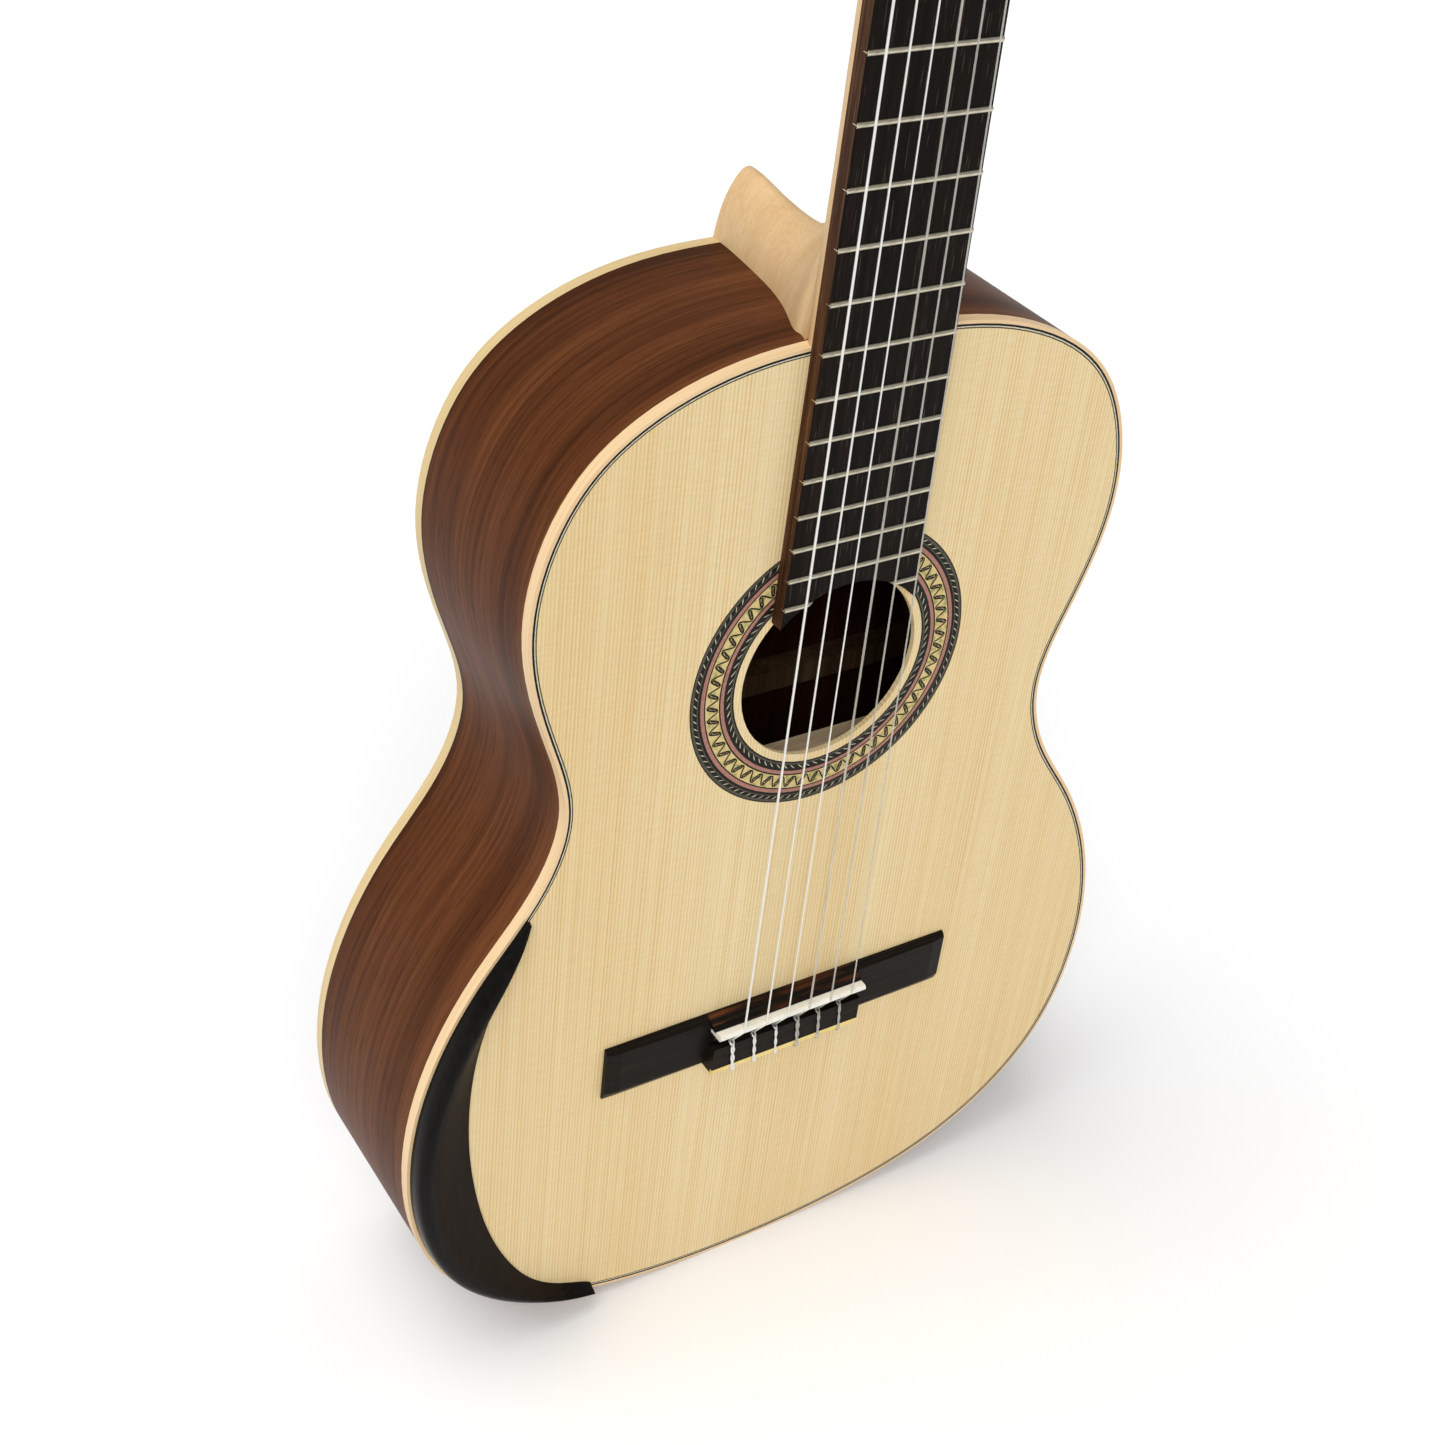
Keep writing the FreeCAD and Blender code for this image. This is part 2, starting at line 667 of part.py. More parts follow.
def saddle_blank():
    half = SADDLE_LENGTH / 2
    rear = SADDLE_FRONT - SADDLE_THICKNESS
    middle = (SADDLE_FRONT + rear) / 2
    edge = SADDLE_TOP - SADDLE_EDGE
    bar = across_bridge(
        [(SADDLE_FRONT, SLOT_FLOOR), (SADDLE_FRONT, edge), (middle + 0.5, SADDLE_TOP),
         (middle - 0.5, SADDLE_TOP), (rear, edge), (rear, SLOT_FLOOR)],
        -half, half,
    )
    bar.translate(V(SADDLE_SHIFT, 0, 0))
    return bar


def saddle_slot():
    """The slot for the saddle, open at both ends of the block."""
    rear = SADDLE_Z + SADDLE_FRONT - SADDLE_THICKNESS
    front = SADDLE_Z + SADDLE_FRONT
    return box(-BLOCK_LENGTH, BLOCK_LENGTH, -SADDLE_TOP, -SLOT_FLOOR, rear, front)


def make_bridge():
    half = BLOCK_LENGTH / 2
    body = across_bridge(
        [(BRIDGE_FRONT, 0.0), (BRIDGE_FRONT, 1.2), (BRIDGE_FRONT - 1.5, 5.2),
         (SADDLE_FRONT + 0.8, SADDLE_BED_HEIGHT), (SADDLE_BED_REAR, SADDLE_BED_HEIGHT),
         (CHANNEL_FRONT, TIE_CHANNEL_HEIGHT),
         (TIE_BLOCK_FRONT, TIE_CHANNEL_HEIGHT), (TIE_BLOCK_FRONT, TIE_BLOCK_TOP),
         (BRIDGE_REAR, TIE_BLOCK_TOP), (BRIDGE_REAR, 0.0)],
        -half, half,
    )
    wing = bridge_wing()
    body = body.fuse(wing).fuse(mirrored(wing))
    rear = SADDLE_Z + BRIDGE_REAR
    trim = box(-half, half, -TIE_BLOCK_TOP, -TIE_BLOCK_TOP + TIE_TRIM_THICKNESS,
               rear, rear + TIE_TRIM_WIDTH)
    saddle = saddle_blank()
    for number in STRING_DIAMETERS:
        x = string_route(number)[2].x
        start = V(x, -TIE_HOLE_HEIGHT, rear - 1)
        end = V(x, -TIE_HOLE_HEIGHT, SADDLE_Z + CHANNEL_FRONT - 0.5)
        body = body.cut(rod(start, end, TIE_HOLE_RADIUS))
        saddle = saddle.cut(string_solid(number, GROOVE_PLAY))
    body = body.cut(trim).cut(saddle_slot())
    save("bridge", body.removeSplitter())
    save("tie_block_trim", trim)
    save("saddle", saddle)


def make_nut():
    half = BOARD_WIDTH_NUT / 2
    nut = box(-half, half, -NUT_HEIGHT, 0, 0, NUT_THICKNESS)
    long_edges = [e for e in nut.Edges if e.Length > 2 * half - 1]
    crown = [e for e in long_edges if e.CenterOfMass.y < -NUT_HEIGHT + 0.1]
    nut = nut.makeFillet(1.2, crown)
    for number in STRING_DIAMETERS:
        nut = nut.cut(string_solid(number, GROOVE_PLAY))
    save("nut", nut)


def make_strings():
    for number in STRING_DIAMETERS:
        save(f"string_{number}", string_solid(number))


# ------------------------------------------------------------------ armrest
def armrest_section(share, width, height):
    """One upright section, square to the body's edge on the bass side."""
    outer = inset_point(share, RIB)
    inner = inset_point(share, RIB + width)
    across = (inner - outer).normalize()
    crest = min(ARMREST_ROLL, 0.42 * width)

    def at(inward, rise):
        spot = outer + across * inward
        return V(-spot.x, -rise, spot.z)

    curve = [
        at(0, 0),
        at(0.06 * crest, 0.5 * height),
        at(0.4 * crest, 0.88 * height),
        at(crest, height),
        at(crest + 0.3 * (width - crest), 0.82 * height),
        at(crest + 0.65 * (width - crest), 0.45 * height),
        at(width, ARMREST_EDGE),
    ]
    foot = at(width, 0)
    return Part.Wire([
        spline(curve),
        Part.makeLine(curve[-1], foot),
        Part.makeLine(foot, curve[0]),
    ])


def make_armrest():
    sections = [armrest_section(*row) for row in ARMREST]
    save("armrest", Part.makeLoft(sections, True, False))


# --------------------------------------------------------------------- head
def head_outline(bottom):
    """The head's front outline, before it is tilted."""
    base, half = HEAD_BASE_HALF_WIDTH, HEAD_HALF_WIDTH
    low, high, top = HEAD_FLARE_START, HEAD_FLARE_END, HEAD_SHOULDER
    up, across = V(0, 0, 1), V(-1, 0, 0)
    flare = spline(
        [V(base, 0, low), V(base + 2.5, 0, low + 8), V(half - 2, 0, high - 8), V(half, 0, high)],
        up, up,
    )
    side = Part.makeLine(V(half, 0, high), V(half, 0, top))
    crest = spline(
        [V(half, 0, top), V(half - 2.5, 0, top + 10), V(24.0, 0, top + 17),
         V(12.0, 0, top + 26), V(0, 0, HEAD_LENGTH)],
        up, across,
    )
    root = Part.makeLine(V(base, 0, bottom), V(base, 0, low))
    foot = Part.makeLine(V(-base, 0, bottom), V(base, 0, bottom))
    right = [root, flare, side, crest]
    left = [mirrored(edge) for edge in right]
    return Part.Face(Part.Wire(Part.__sortEdges__([foot] + right + left)))


def slot_cutter(side):
    """One of the two long slots through the head."""
    radius = (SLOT_OUTER - SLOT_INNER) / 2
    middle = side * (SLOT_INNER + SLOT_OUTER) / 2
    low, high = SLOT_BOTTOM + radius, SLOT_TOP - radius
    reach = HEAD_THICKNESS + 5
    cutter = box(middle - radius, middle + radius, -5, reach, low, high)
    cutter = cutter.fuse(disc(middle, low, -5, reach, radius))
    return cutter.fuse(disc(middle, high, -5, reach, radius))


def screw_places(side):
    return [V(side * PLATE_FACE, ROLLER_DEPTH, z) for z in SCREW_PLACES]


def screw(place, side):
    """A small dome-headed wood screw with a cross slot."""
    head = Part.makeSphere(SCREW_HEAD_RADIUS, place)
    squash = FreeCAD.Matrix()
    squash.scale(0.5, 1, 1)
    head.translate(place * -1)
    head = head.transformGeometry(squash)
    head.translate(place)
    outward = place + V(side * 5, 0, 0)
    head = head.common(rod(place, outward, SCREW_HEAD_RADIUS + 1))
    cross = 0.35
    tip = place.x + side * SCREW_HEAD_RADIUS * 0.5
    deep = tip - side * 0.6
    low, high = min(tip + side, deep), max(tip + side, deep)
    y, z = place.y, place.z
    head = head.cut(box(low, high, y - 1.6, y + 1.6, z - cross, z + cross))
    head = head.cut(box(low, high, y - cross, y + cross, z - 1.6, z + 1.6))
    shank = rod(place, place - V(side * SCREW_LENGTH, 0, 0), SCREW_RADIUS)
    return head.fuse(shank)


def above_nut(shape):
    """Trim a tilted head part where it meets the neck and nut."""
    return shape.common(box(-60, 60, -60, 120, NUT_THICKNESS, 300))


def make_head():
    face = head_outline(-10.0)
    wood = face.extrude(V(0, HEAD_THICKNESS, 0))
    veneer = face.extrude(V(0, -VENEER_THICKNESS, 0))
    for side in (-1, 1):
        wood = wood.cut(slot_cutter(side))
        veneer = veneer.cut(slot_cutter(side))
        for z in ROLLER_PLACES:
            inner = V(side * (ROLLER_LIMIT - 0.2), ROLLER_DEPTH, z)
            outer = V(side * (HEAD_HALF_WIDTH + 2), ROLLER_DEPTH, z)
            wood = wood.cut(rod(inner, outer, ROLLER_RADIUS + ROLLER_PLAY))
        for place in screw_places(side):
            wood = wood.cut(rod(place, place - V(side * SCREW_LENGTH, 0, 0), SCREW_RADIUS))
    save("headstock", above_nut(tilt(wood)))
    save("head_veneer", above_nut(tilt(veneer)))


# ---------------------------------------------------------- tuning machines
def tuner_plate(side):
    """A side plate with round ends, drilled for spindles and screws."""
    inner, outer = side * HEAD_HALF_WIDTH, side * PLATE_FACE
    low, high = min(inner, outer), max(inner, outer)
    half = PLATE_WIDTH / 2
    y0, y1 = ROLLER_DEPTH - half, ROLLER_DEPTH + half
    plate = box(low, high, y0, y1, PLATE_BOTTOM, PLATE_TOP)
    corners = [e for e in plate.Edges if abs(e.Length - PLATE_THICKNESS) < 0.01]
    plate = plate.makeFillet(PLATE_CORNER, corners)
    for z in ROLLER_PLACES:
        start = V(inner - side, ROLLER_DEPTH, z)
        end = V(outer + side, ROLLER_DEPTH, z)
        plate = plate.cut(rod(start, end, SPINDLE_RADIUS + SPINDLE_PLAY))
    for place in screw_places(side):
        plate = plate.cut(rod(place + V(side, 0, 0), place - V(side * 3, 0, 0), SCREW_RADIUS))
    return plate


def worm_bracket(side, z):
    """A U-shaped bracket whose two ears carry a worm's shaft."""
    base0, base1 = PLATE_FACE, PLATE_FACE + BRACKET_BASE
    ear_top = WORM_OFFSET + EAR_REACH
    low, high = z - BRACKET_HALF, z + BRACKET_HALF
    y0, y1 = EAR_FRONT, 2 * ROLLER_DEPTH - EAR_FRONT
    bracket = box(base0, base1, y0, y1, low, high)
    for start in (y0, y1 - EAR_THICKNESS):
        ear = box(base0, ear_top, start, start + EAR_THICKNESS, low, high)
        tips = [e for e in ear.Edges
                if abs(e.Length - EAR_THICKNESS) < 0.01 and e.CenterOfMass.x > ear_top - 0.1]
        bracket = bracket.fuse(ear.makeFillet(EAR_CORNER, tips))
    hole = rod(V(WORM_OFFSET, -1, z), V(WORM_OFFSET, 25, z), WORM_SHAFT_RADIUS + SPINDLE_PLAY)
    bracket = bracket.cut(hole).removeSplitter()
    return bracket if side > 0 else mirrored(bracket)


def worm_solid():
    """A right-handed worm on its shaft, centred on the shaft's middle; its
    axis is +Y, and a thread crest faces straight down."""
    height = WORM_TURNS * WORM_PITCH
    helix = Part.makeHelix(WORM_PITCH, height, WORM_ROOT_RADIUS)
    root, tip = 0.84, 0.34  # half thickness of the thread
    inner = WORM_ROOT_RADIUS - 0.25
    profile = Part.makePolygon([
        V(inner, 0, -root), V(WORM_TIP_RADIUS, 0, -tip),
        V(WORM_TIP_RADIUS, 0, tip), V(inner, 0, root), V(inner, 0, -root),
    ])
    thread = Part.Wire(helix.Edges).makePipeShell([profile], True, True)
    thread.rotate(V(0, 0, 0), V(1, 0, 0), -90)
    thread.translate(V(0, -height / 2, 0))
    core_half = ROLLER_DEPTH - EAR_FRONT - EAR_THICKNESS - 0.2
    core = rod(V(0, -core_half, 0), V(0, core_half, 0), WORM_ROOT_RADIUS)
    shaft_end = BUTTON_FRONT + BUTTON_BORE - ROLLER_DEPTH
    shaft = rod(V(0, EAR_FRONT - ROLLER_DEPTH - 0.8, 0), V(0, shaft_end, 0), WORM_SHAFT_RADIUS)
    return core.fuse(thread).fuse(shaft)


def gear_solid():
    """A gear with its axis along X and its teeth skewed to suit the worm; a
    tooth space faces straight up."""
    root, tip = WORM_RISE - WORM_TIP_RADIUS - 0.2, WORM_RISE - WORM_ROOT_RADIUS - 0.2
    root_half, tip_half = 0.76, 0.36
    skew = math.degrees(LEAD_SLOPE * GEAR_THICKNESS / 2 / GEAR_PITCH_RADIUS)
    corners = []
    for tooth in range(GEAR_TEETH):
        middle = (tooth + 0.5) * 360.0 / GEAR_TEETH
        for radius, half in ((root, -root_half), (tip, -tip_half), (tip, tip_half), (root, root_half)):
            angle = math.radians(middle) + math.atan2(half, radius)
            corners.append(V(0, radius * math.sin(angle), radius * math.cos(angle)))
    wires = []
    for end in (-1, 1):
        wire = Part.makePolygon(corners + [corners[0]])
        wire.rotate(V(0, 0, 0), V(1, 0, 0), end * skew)
        wire.translate(V(end * GEAR_THICKNESS / 2, 0, 0))
        wires.append(wire)
    blank = Part.makeLoft(wires, True, True)
    reach = GEAR_THICKNESS
    return blank.cut(rod(V(-reach, 0, 0), V(reach, 0, 0), SPINDLE_RADIUS))


def roller_solid():
    """A string roller for the treble side, spindle and screw head included."""
    end = WORM_OFFSET + GEAR_THICKNESS / 2
    roller = rod(V(ROLLER_LIMIT, 0, 0), V(HEAD_HALF_WIDTH - 0.25, 0, 0), ROLLER_RADIUS)
    hole = rod(V(STRING_AT_ROLLER, -9, 0), V(STRING_AT_ROLLER, 9, 0), 1.0)
    roller = roller.cut(hole)
    roller = roller.fuse(rod(V(HEAD_HALF_WIDTH - 1, 0, 0), V(end, 0, 0), SPINDLE_RADIUS))
    collar = rod(V(PLATE_FACE + 0.3, 0, 0), V(GEAR_FACE, 0, 0), COLLAR_RADIUS)
    head = rod(V(end, 0, 0), V(end + 1.6, 0, 0), 3.4)
    head = head.cut(box(end + 0.9, end + 3, -0.5, 0.5, -5, 5))
    return roller.fuse(collar).fuse(head)


def button_solid():
    """A flattened oval button on the worm's shaft; its shaft is along Y."""
    rings = []
    for along, wide, thick in BUTTON_RINGS:
        ellipse = Part.Ellipse(V(0, 0, 0), wide, thick)
        ring = Part.Wire([ellipse.toShape()])
        ring.rotate(V(0, 0, 0), V(1, 0, 0), -90)
        ring.rotate(V(0, 0, 0), V(0, 1, 0), 90)
        ring.translate(V(0, along * BUTTON_LENGTH, 0))
        rings.append(ring)
    button = Part.makeLoft(rings, True, False)
    return button.cut(rod(V(0, -1, 0), V(0, BUTTON_BORE, 0), WORM_SHAFT_RADIUS))


def make_tuners():
    brackets = []
    screws = []
    for side, name in ((-1, "bass"), (1, "treble")):
        save(f"{name}_tuner_plate", tilt(tuner_plate(side)))
        brackets += [tilt(worm_bracket(side, z + WORM_RISE)) for z in ROLLER_PLACES]
        screws += [tilt(screw(place, side)) for place in screw_places(side)]
    save("worm_brackets", *brackets)
    save("tuner_screws", *screws)
    worm, gear, roller, button = worm_solid(), gear_solid(), roller_solid(), button_solid()
    for number, (side, place) in TUNERS.items():
        z = ROLLER_PLACES[place]
        spindle = V(0, ROLLER_DEPTH, z)
        centre = V(side * WORM_OFFSET, ROLLER_DEPTH, z)
        rise = V(0, 0, WORM_RISE)
        to_button = V(0, BUTTON_FRONT - ROLLER_DEPTH, 0)
        turned = roller if side > 0 else mirrored(roller)
        save(f"roller_{number}", tilt(turned.translated(spindle)))
        save(f"gear_{number}", tilt(gear.translated(centre)))
        save(f"worm_{number}", tilt(worm.translated(centre + rise)))
        save(f"button_{number}", tilt(button.translated(centre + rise + to_button)))


# ---------------------------------------------------------------- build all
os.makedirs("parts", exist_ok=True)
make_body()
make_blocks()
make_bracing()
make_neck()
make_fingerboard()
make_nut()
make_bridge()
make_strings()
make_armrest()
make_head()
make_tuners()
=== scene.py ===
import json
import math

import bpy
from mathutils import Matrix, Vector


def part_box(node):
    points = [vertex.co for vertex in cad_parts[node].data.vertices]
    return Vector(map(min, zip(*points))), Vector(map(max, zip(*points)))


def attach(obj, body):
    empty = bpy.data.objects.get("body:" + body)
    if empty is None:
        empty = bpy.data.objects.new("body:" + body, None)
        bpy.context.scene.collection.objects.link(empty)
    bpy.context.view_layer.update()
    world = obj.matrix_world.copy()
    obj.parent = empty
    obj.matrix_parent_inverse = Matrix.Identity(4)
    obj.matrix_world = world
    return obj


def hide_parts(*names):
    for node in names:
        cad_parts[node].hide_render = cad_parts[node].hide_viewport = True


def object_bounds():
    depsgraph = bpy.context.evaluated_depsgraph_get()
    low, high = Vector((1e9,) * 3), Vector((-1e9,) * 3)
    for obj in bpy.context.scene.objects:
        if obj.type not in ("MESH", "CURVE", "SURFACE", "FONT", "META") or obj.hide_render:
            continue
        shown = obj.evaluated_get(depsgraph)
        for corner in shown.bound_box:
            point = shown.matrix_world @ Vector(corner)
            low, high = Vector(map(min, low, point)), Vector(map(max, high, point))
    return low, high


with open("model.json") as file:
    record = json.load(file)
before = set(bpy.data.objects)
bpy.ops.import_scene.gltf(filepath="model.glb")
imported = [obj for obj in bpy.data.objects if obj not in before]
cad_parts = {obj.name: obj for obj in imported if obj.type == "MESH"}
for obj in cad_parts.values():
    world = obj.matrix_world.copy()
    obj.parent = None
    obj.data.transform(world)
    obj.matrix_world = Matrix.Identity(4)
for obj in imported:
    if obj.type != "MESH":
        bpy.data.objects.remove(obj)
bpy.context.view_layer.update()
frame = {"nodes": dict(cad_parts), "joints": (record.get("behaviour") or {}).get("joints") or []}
nodes = frame["nodes"]

MM = 0.001
TURN = 2 * math.pi

# The frame: +Z up the neck, -Y out of the soundboard, -X the bass side.

# ------------------------------------------------------------------- camera
FOCAL_LENGTH = 53.146  # in millimetres, like the sensor
SENSOR = 36.0
LENS_SHIFT = (-0.0069204152, 0.0188927336)  # across and up, in sensor widths
CAMERA_PLACE = (-0.45675, -0.56640, 0.00628)
CAMERA_TURN = (53.917, -5.722, -31.965)  # in degrees


def make_camera():
    data = bpy.data.cameras.new("camera")
    data.lens = FOCAL_LENGTH
    data.sensor_width = SENSOR
    data.shift_x, data.shift_y = LENS_SHIFT
    camera = bpy.data.objects.new("camera", data)
    camera.location = CAMERA_PLACE
    camera.rotation_euler = [math.radians(a) for a in CAMERA_TURN]
    bpy.context.scene.collection.objects.link(camera)
    bpy.context.scene.camera = camera


# ----------------------------------------------------------- floor and light
SKY_STRENGTH = 0.37
# Name, direction that the light comes from, strength and spread in degrees
LIGHTS = [
    ("key", (-0.9, -1.3, 1.3), 1.42, 35.0),
    ("overhead", (-0.40, 0.05, 1.0), 1.55, 45.0),
]
FLOOR_REACH = 40.0  # from the floor's middle to each edge
FLOOR_COLOUR = (250, 250, 250)
FLOOR_ROUGHNESS = 0.9


def wide_light(name, source, strength, spread):
    data = bpy.data.lights.new(name, "SUN")
    data.energy = strength
    data.angle = math.radians(spread)
    light = bpy.data.objects.new(name, data)
    light.rotation_euler = Vector(source).to_track_quat("Z", "Y").to_euler()
    bpy.context.scene.collection.objects.link(light)


def make_sky():
    """Soft light from all round, behind which the backdrop itself shows as plain white."""
    world = bpy.data.worlds.new("studio")
    bpy.context.scene.world = world
    world.use_nodes = True
    tree = world.node_tree
    sky = tree.nodes["Background"]
    sky.inputs["Color"].default_value = (1.0, 1.0, 1.0, 1.0)
    seen = tree.nodes.new("ShaderNodeLightPath")
    level = tree.nodes.new("ShaderNodeMath")
    level.operation = "MULTIPLY_ADD"
    level.inputs[1].default_value = 1.0 - SKY_STRENGTH
    level.inputs[2].default_value = SKY_STRENGTH
    tree.links.new(seen.outputs["Is Camera Ray"], level.inputs[0])
    tree.links.new(level.outputs[0], sky.inputs["Strength"])


def make_floor():
    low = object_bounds()[0][2]
    corners = [(x * FLOOR_REACH, y * FLOOR_REACH, low) for x, y in ((-1, -1), (1, -1), (1, 1), (-1, 1))]
    mesh = bpy.data.meshes.new("floor")
    mesh.from_pydata(corners, [], [(0, 1, 2, 3)])
    mesh.materials.append(Look("floor", FLOOR_COLOUR, FLOOR_ROUGHNESS).material)
    floor = bpy.data.objects.new("floor", mesh)
    bpy.context.scene.collection.objects.link(floor)


def make_studio():
    bpy.context.scene.view_settings.view_transform = "Standard"
    make_sky()
    for light in LIGHTS:
        wide_light(*light)
    make_floor()


# ------------------------------------------------------- how looks are built
WHITE = (255, 255, 255)


def rgb(*levels):
    """A linear colour from ordinary 0 to 255 levels, by the sRGB curve."""
    shares = [level / 255 for level in levels]
    linear = [s / 12.92 if s <= 0.04045 else ((s + 0.055) / 1.055) ** 2.4 for s in shares]
    return (*linear, 1.0)


def stretched(run, along, across):
    """Streaks per metre on X, Y and Z, for a grain that runs along the axes named in run."""
    return tuple(along if axis in run else across for axis in "XYZ")


class Look:
    """A procedural material, built up from noise that is laid out in metres."""

    def __init__(self, name, colour, roughness, specular=0.5, metallic=0.0):
        self.material = bpy.data.materials.new(name)
        self.material.use_nodes = True
        self.tree = self.material.node_tree
        self.shader = self.tree.nodes["Principled BSDF"]
        self.set("Base Color", rgb(*colour))
        self.set("Roughness", roughness)
        self.set("Metallic", metallic)
        self.set("Specular IOR Level", specular)
        self.material.diffuse_color = rgb(*colour)

    def feed(self, socket, value):
        """A constant goes on the socket itself, and anything else is linked to it."""
        if isinstance(value, bpy.types.NodeSocket):
            self.tree.links.new(value, socket)
        else:
            socket.default_value = value

    def set(self, name, value):
        self.feed(self.shader.inputs[name], value)

    def node(self, kind, **settings):
        node = self.tree.nodes.new(kind)
        for key, value in settings.items():
            setattr(node, key, value)
        return node

    def place(self):
        return self.node("ShaderNodeTexCoord").outputs["Object"]

    def split(self, vector):
        node = self.node("ShaderNodeSeparateXYZ")
        self.feed(node.inputs[0], vector)
        return node.outputs

    def parts(self):
        """X, Y and Z of the place on the object."""
        return self.split(self.place())

    def facing(self):
        """X, Y and Z of the direction that the surface looks in."""
        return self.split(self.node("ShaderNodeNewGeometry").outputs["Normal"])

    def join(self, x, y, z):
        node = self.node("ShaderNodeCombineXYZ")
        for socket, value in zip(node.inputs, (x, y, z)):
            self.feed(socket, value)
        return node.outputs[0]

    def math(self, kind, *values):
        node = self.node("ShaderNodeMath", operation=kind)
        for socket, value in zip(node.inputs, values):
            self.feed(socket, value)
        return node.outputs[0]

    def between(self, share, low, high):
        """A value that goes from low to high as the share goes from 0 to 1."""
        return self.math("MULTIPLY_ADD", share, high - low, low)

    def noise(self, vector, detail=2.0, roughness=0.5, bend=0.0):
        noise = self.node("ShaderNodeTexNoise")
        self.feed(noise.inputs["Vector"], vector)
        noise.inputs["Scale"].default_value = 1.0
        noise.inputs["Detail"].default_value = detail
        noise.inputs["Roughness"].default_value = roughness
        noise.inputs["Distortion"].default_value = bend
        return noise.outputs["Fac"]

    def grain(self, per_metre, offset=(0.0, 0.0, 0.0), **settings):
        """Noise with so many streaks per metre on X, Y and Z."""
        mapping = self.node("ShaderNodeMapping")
        self.feed(mapping.inputs["Vector"], self.place())
        mapping.inputs["Scale"].default_value = per_metre
        mapping.inputs["Location"].default_value = offset
        return self.noise(mapping.outputs[0], **settings)

    def ramp(self, value, stops):
        """Colours or greys at places between 0 and 1."""
        node = self.node("ShaderNodeValToRGB")
        self.feed(node.inputs[0], value)
        ends = node.color_ramp.elements
        while len(ends) < len(stops):
            ends.new(0.5)
        for end, (at, colour) in zip(ends, stops):
            end.position = at
            end.color = rgb(*colour) if isinstance(colour, tuple) else (colour, colour, colour, 1.0)
        return node.outputs[0]

    def mix(self, share, a, b, kind="MIX"):
        node = self.node("ShaderNodeMix", data_type="RGBA", blend_type=kind)
        self.feed(node.inputs[0], share)
        self.feed(node.inputs[6], a)
        self.feed(node.inputs[7], b)
        return node.outputs[2]

    def tinted(self, colour, tone):
        return self.mix(1.0, colour, tone, "MULTIPLY")

    def bump(self, height, depth_mm, strength):
        node = self.node("ShaderNodeBump")
        node.inputs["Strength"].default_value = strength
        node.inputs["Distance"].default_value = depth_mm * MM
        self.feed(node.inputs["Height"], height)
        self.set("Normal", node.outputs[0])


# -------------------------------------------------------------- plain woods
GROWTH_LINES = 600.0  # per metre across the soundboard
WINTER_WOOD = (220, 183, 122)
SUMMER_WOOD = (234, 217, 175)


def spruce():
    """Book-matched quarter-sawn spruce with fine straight orange winter lines."""
    look = Look("spruce", (232, 212, 166), 0.45, 0.25)
    x, _, z = look.parts()
    side = look.math("ABSOLUTE", x)
    lane = look.join(look.math("MULTIPLY", side, 7.0), 0.0, look.math("MULTIPLY", z, 0.8))
    drift = look.math("MULTIPLY", look.noise(lane, detail=1.0), 12.0)
    years = look.math("ADD", look.math("MULTIPLY", side, GROWTH_LINES), drift)
    winter = look.ramp(look.math("FRACT", years), [(0.0, 0.0), (0.35, 0.1), (0.8, 1.0), (1.0, 0.0)])
    year = look.join(look.math("MULTIPLY", look.math("FLOOR", years), 0.37), 5.0, z)
    strong = look.ramp(look.noise(year, detail=1.0), [(0.3, 0.3), (0.68, 1.0)])
    line = look.math("MULTIPLY", winter, strong)
    silk = look.grain((120.0, 10.0, 700.0))
    hairs = look.grain((1500.0, 10.0, 6.0))
    glow = look.grain((16.0, 3.0, 1.5))
    colour = look.mix(line, rgb(*SUMMER_WOOD), rgb(*WINTER_WOOD))
    for figure, stops in (
        (silk, [(0.3, (250, 248, 244)), (0.65, WHITE)]),
        (hairs, [(0.35, (248, 244, 236)), (0.55, WHITE)]),
        (glow, [(0.3, (250, 243, 230)), (0.7, WHITE)]),
    ):
        colour = look.tinted(colour, look.ramp(figure, stops))
    look.set("Base Color", colour)
    look.set("Roughness", look.between(silk, 0.40, 0.52))
    look.bump(line, 0.015, 0.5)
    return look.material


def grained(name, colours, run, broad, fine, pores, roughness=0.42, specular=0.1, painted_inner_shade=1.0):
    """An open-grained wood in dark, middle and light colours. The grain runs along
    the axes named in run; broad and fine are streaks per metre across it. Pores is
    how dark its pores are; painted_inner_shade darkens the inner faces as painted shade."""
    dark, middle, light = colours
    look = Look(name, middle, roughness, specular)
    figure = look.grain(stretched(run, broad / 30, broad), detail=3.0, roughness=0.55, bend=0.25)
    lines = look.grain(stretched(run, fine / 45, fine), (3.0, 1.0, 2.0), detail=3.0, roughness=0.7)
    tone = look.math("ADD", look.math("MULTIPLY", figure, 0.55), look.math("MULTIPLY", lines, 0.45))
    colour = look.ramp(tone, [(0.38, dark), (0.5, middle), (0.62, light)])
    flecks = look.grain(stretched(run, 90.0, 2200.0), (7.0, 5.0, 1.0), detail=1.0, roughness=0.6)
    solid = look.ramp(flecks, [(0.30, 1.0 - pores), (0.40, 1.0)])
    colour = look.tinted(colour, solid)
    # Painted shade: faces that look into the body are darkened, standing in for the shadow inside it
    if painted_inner_shade < 1:
        _, behind, _ = look.facing()
        outer = look.ramp(look.between(behind, 0.5, 1.0), [(0.2, painted_inner_shade), (0.4, 1.0)])
        colour = look.tinted(colour, outer)
    look.set("Base Color", colour)
    look.set("Roughness", look.between(solid, roughness + 0.12, roughness))
    look.bump(solid, 0.03, 0.4)
    return look.material


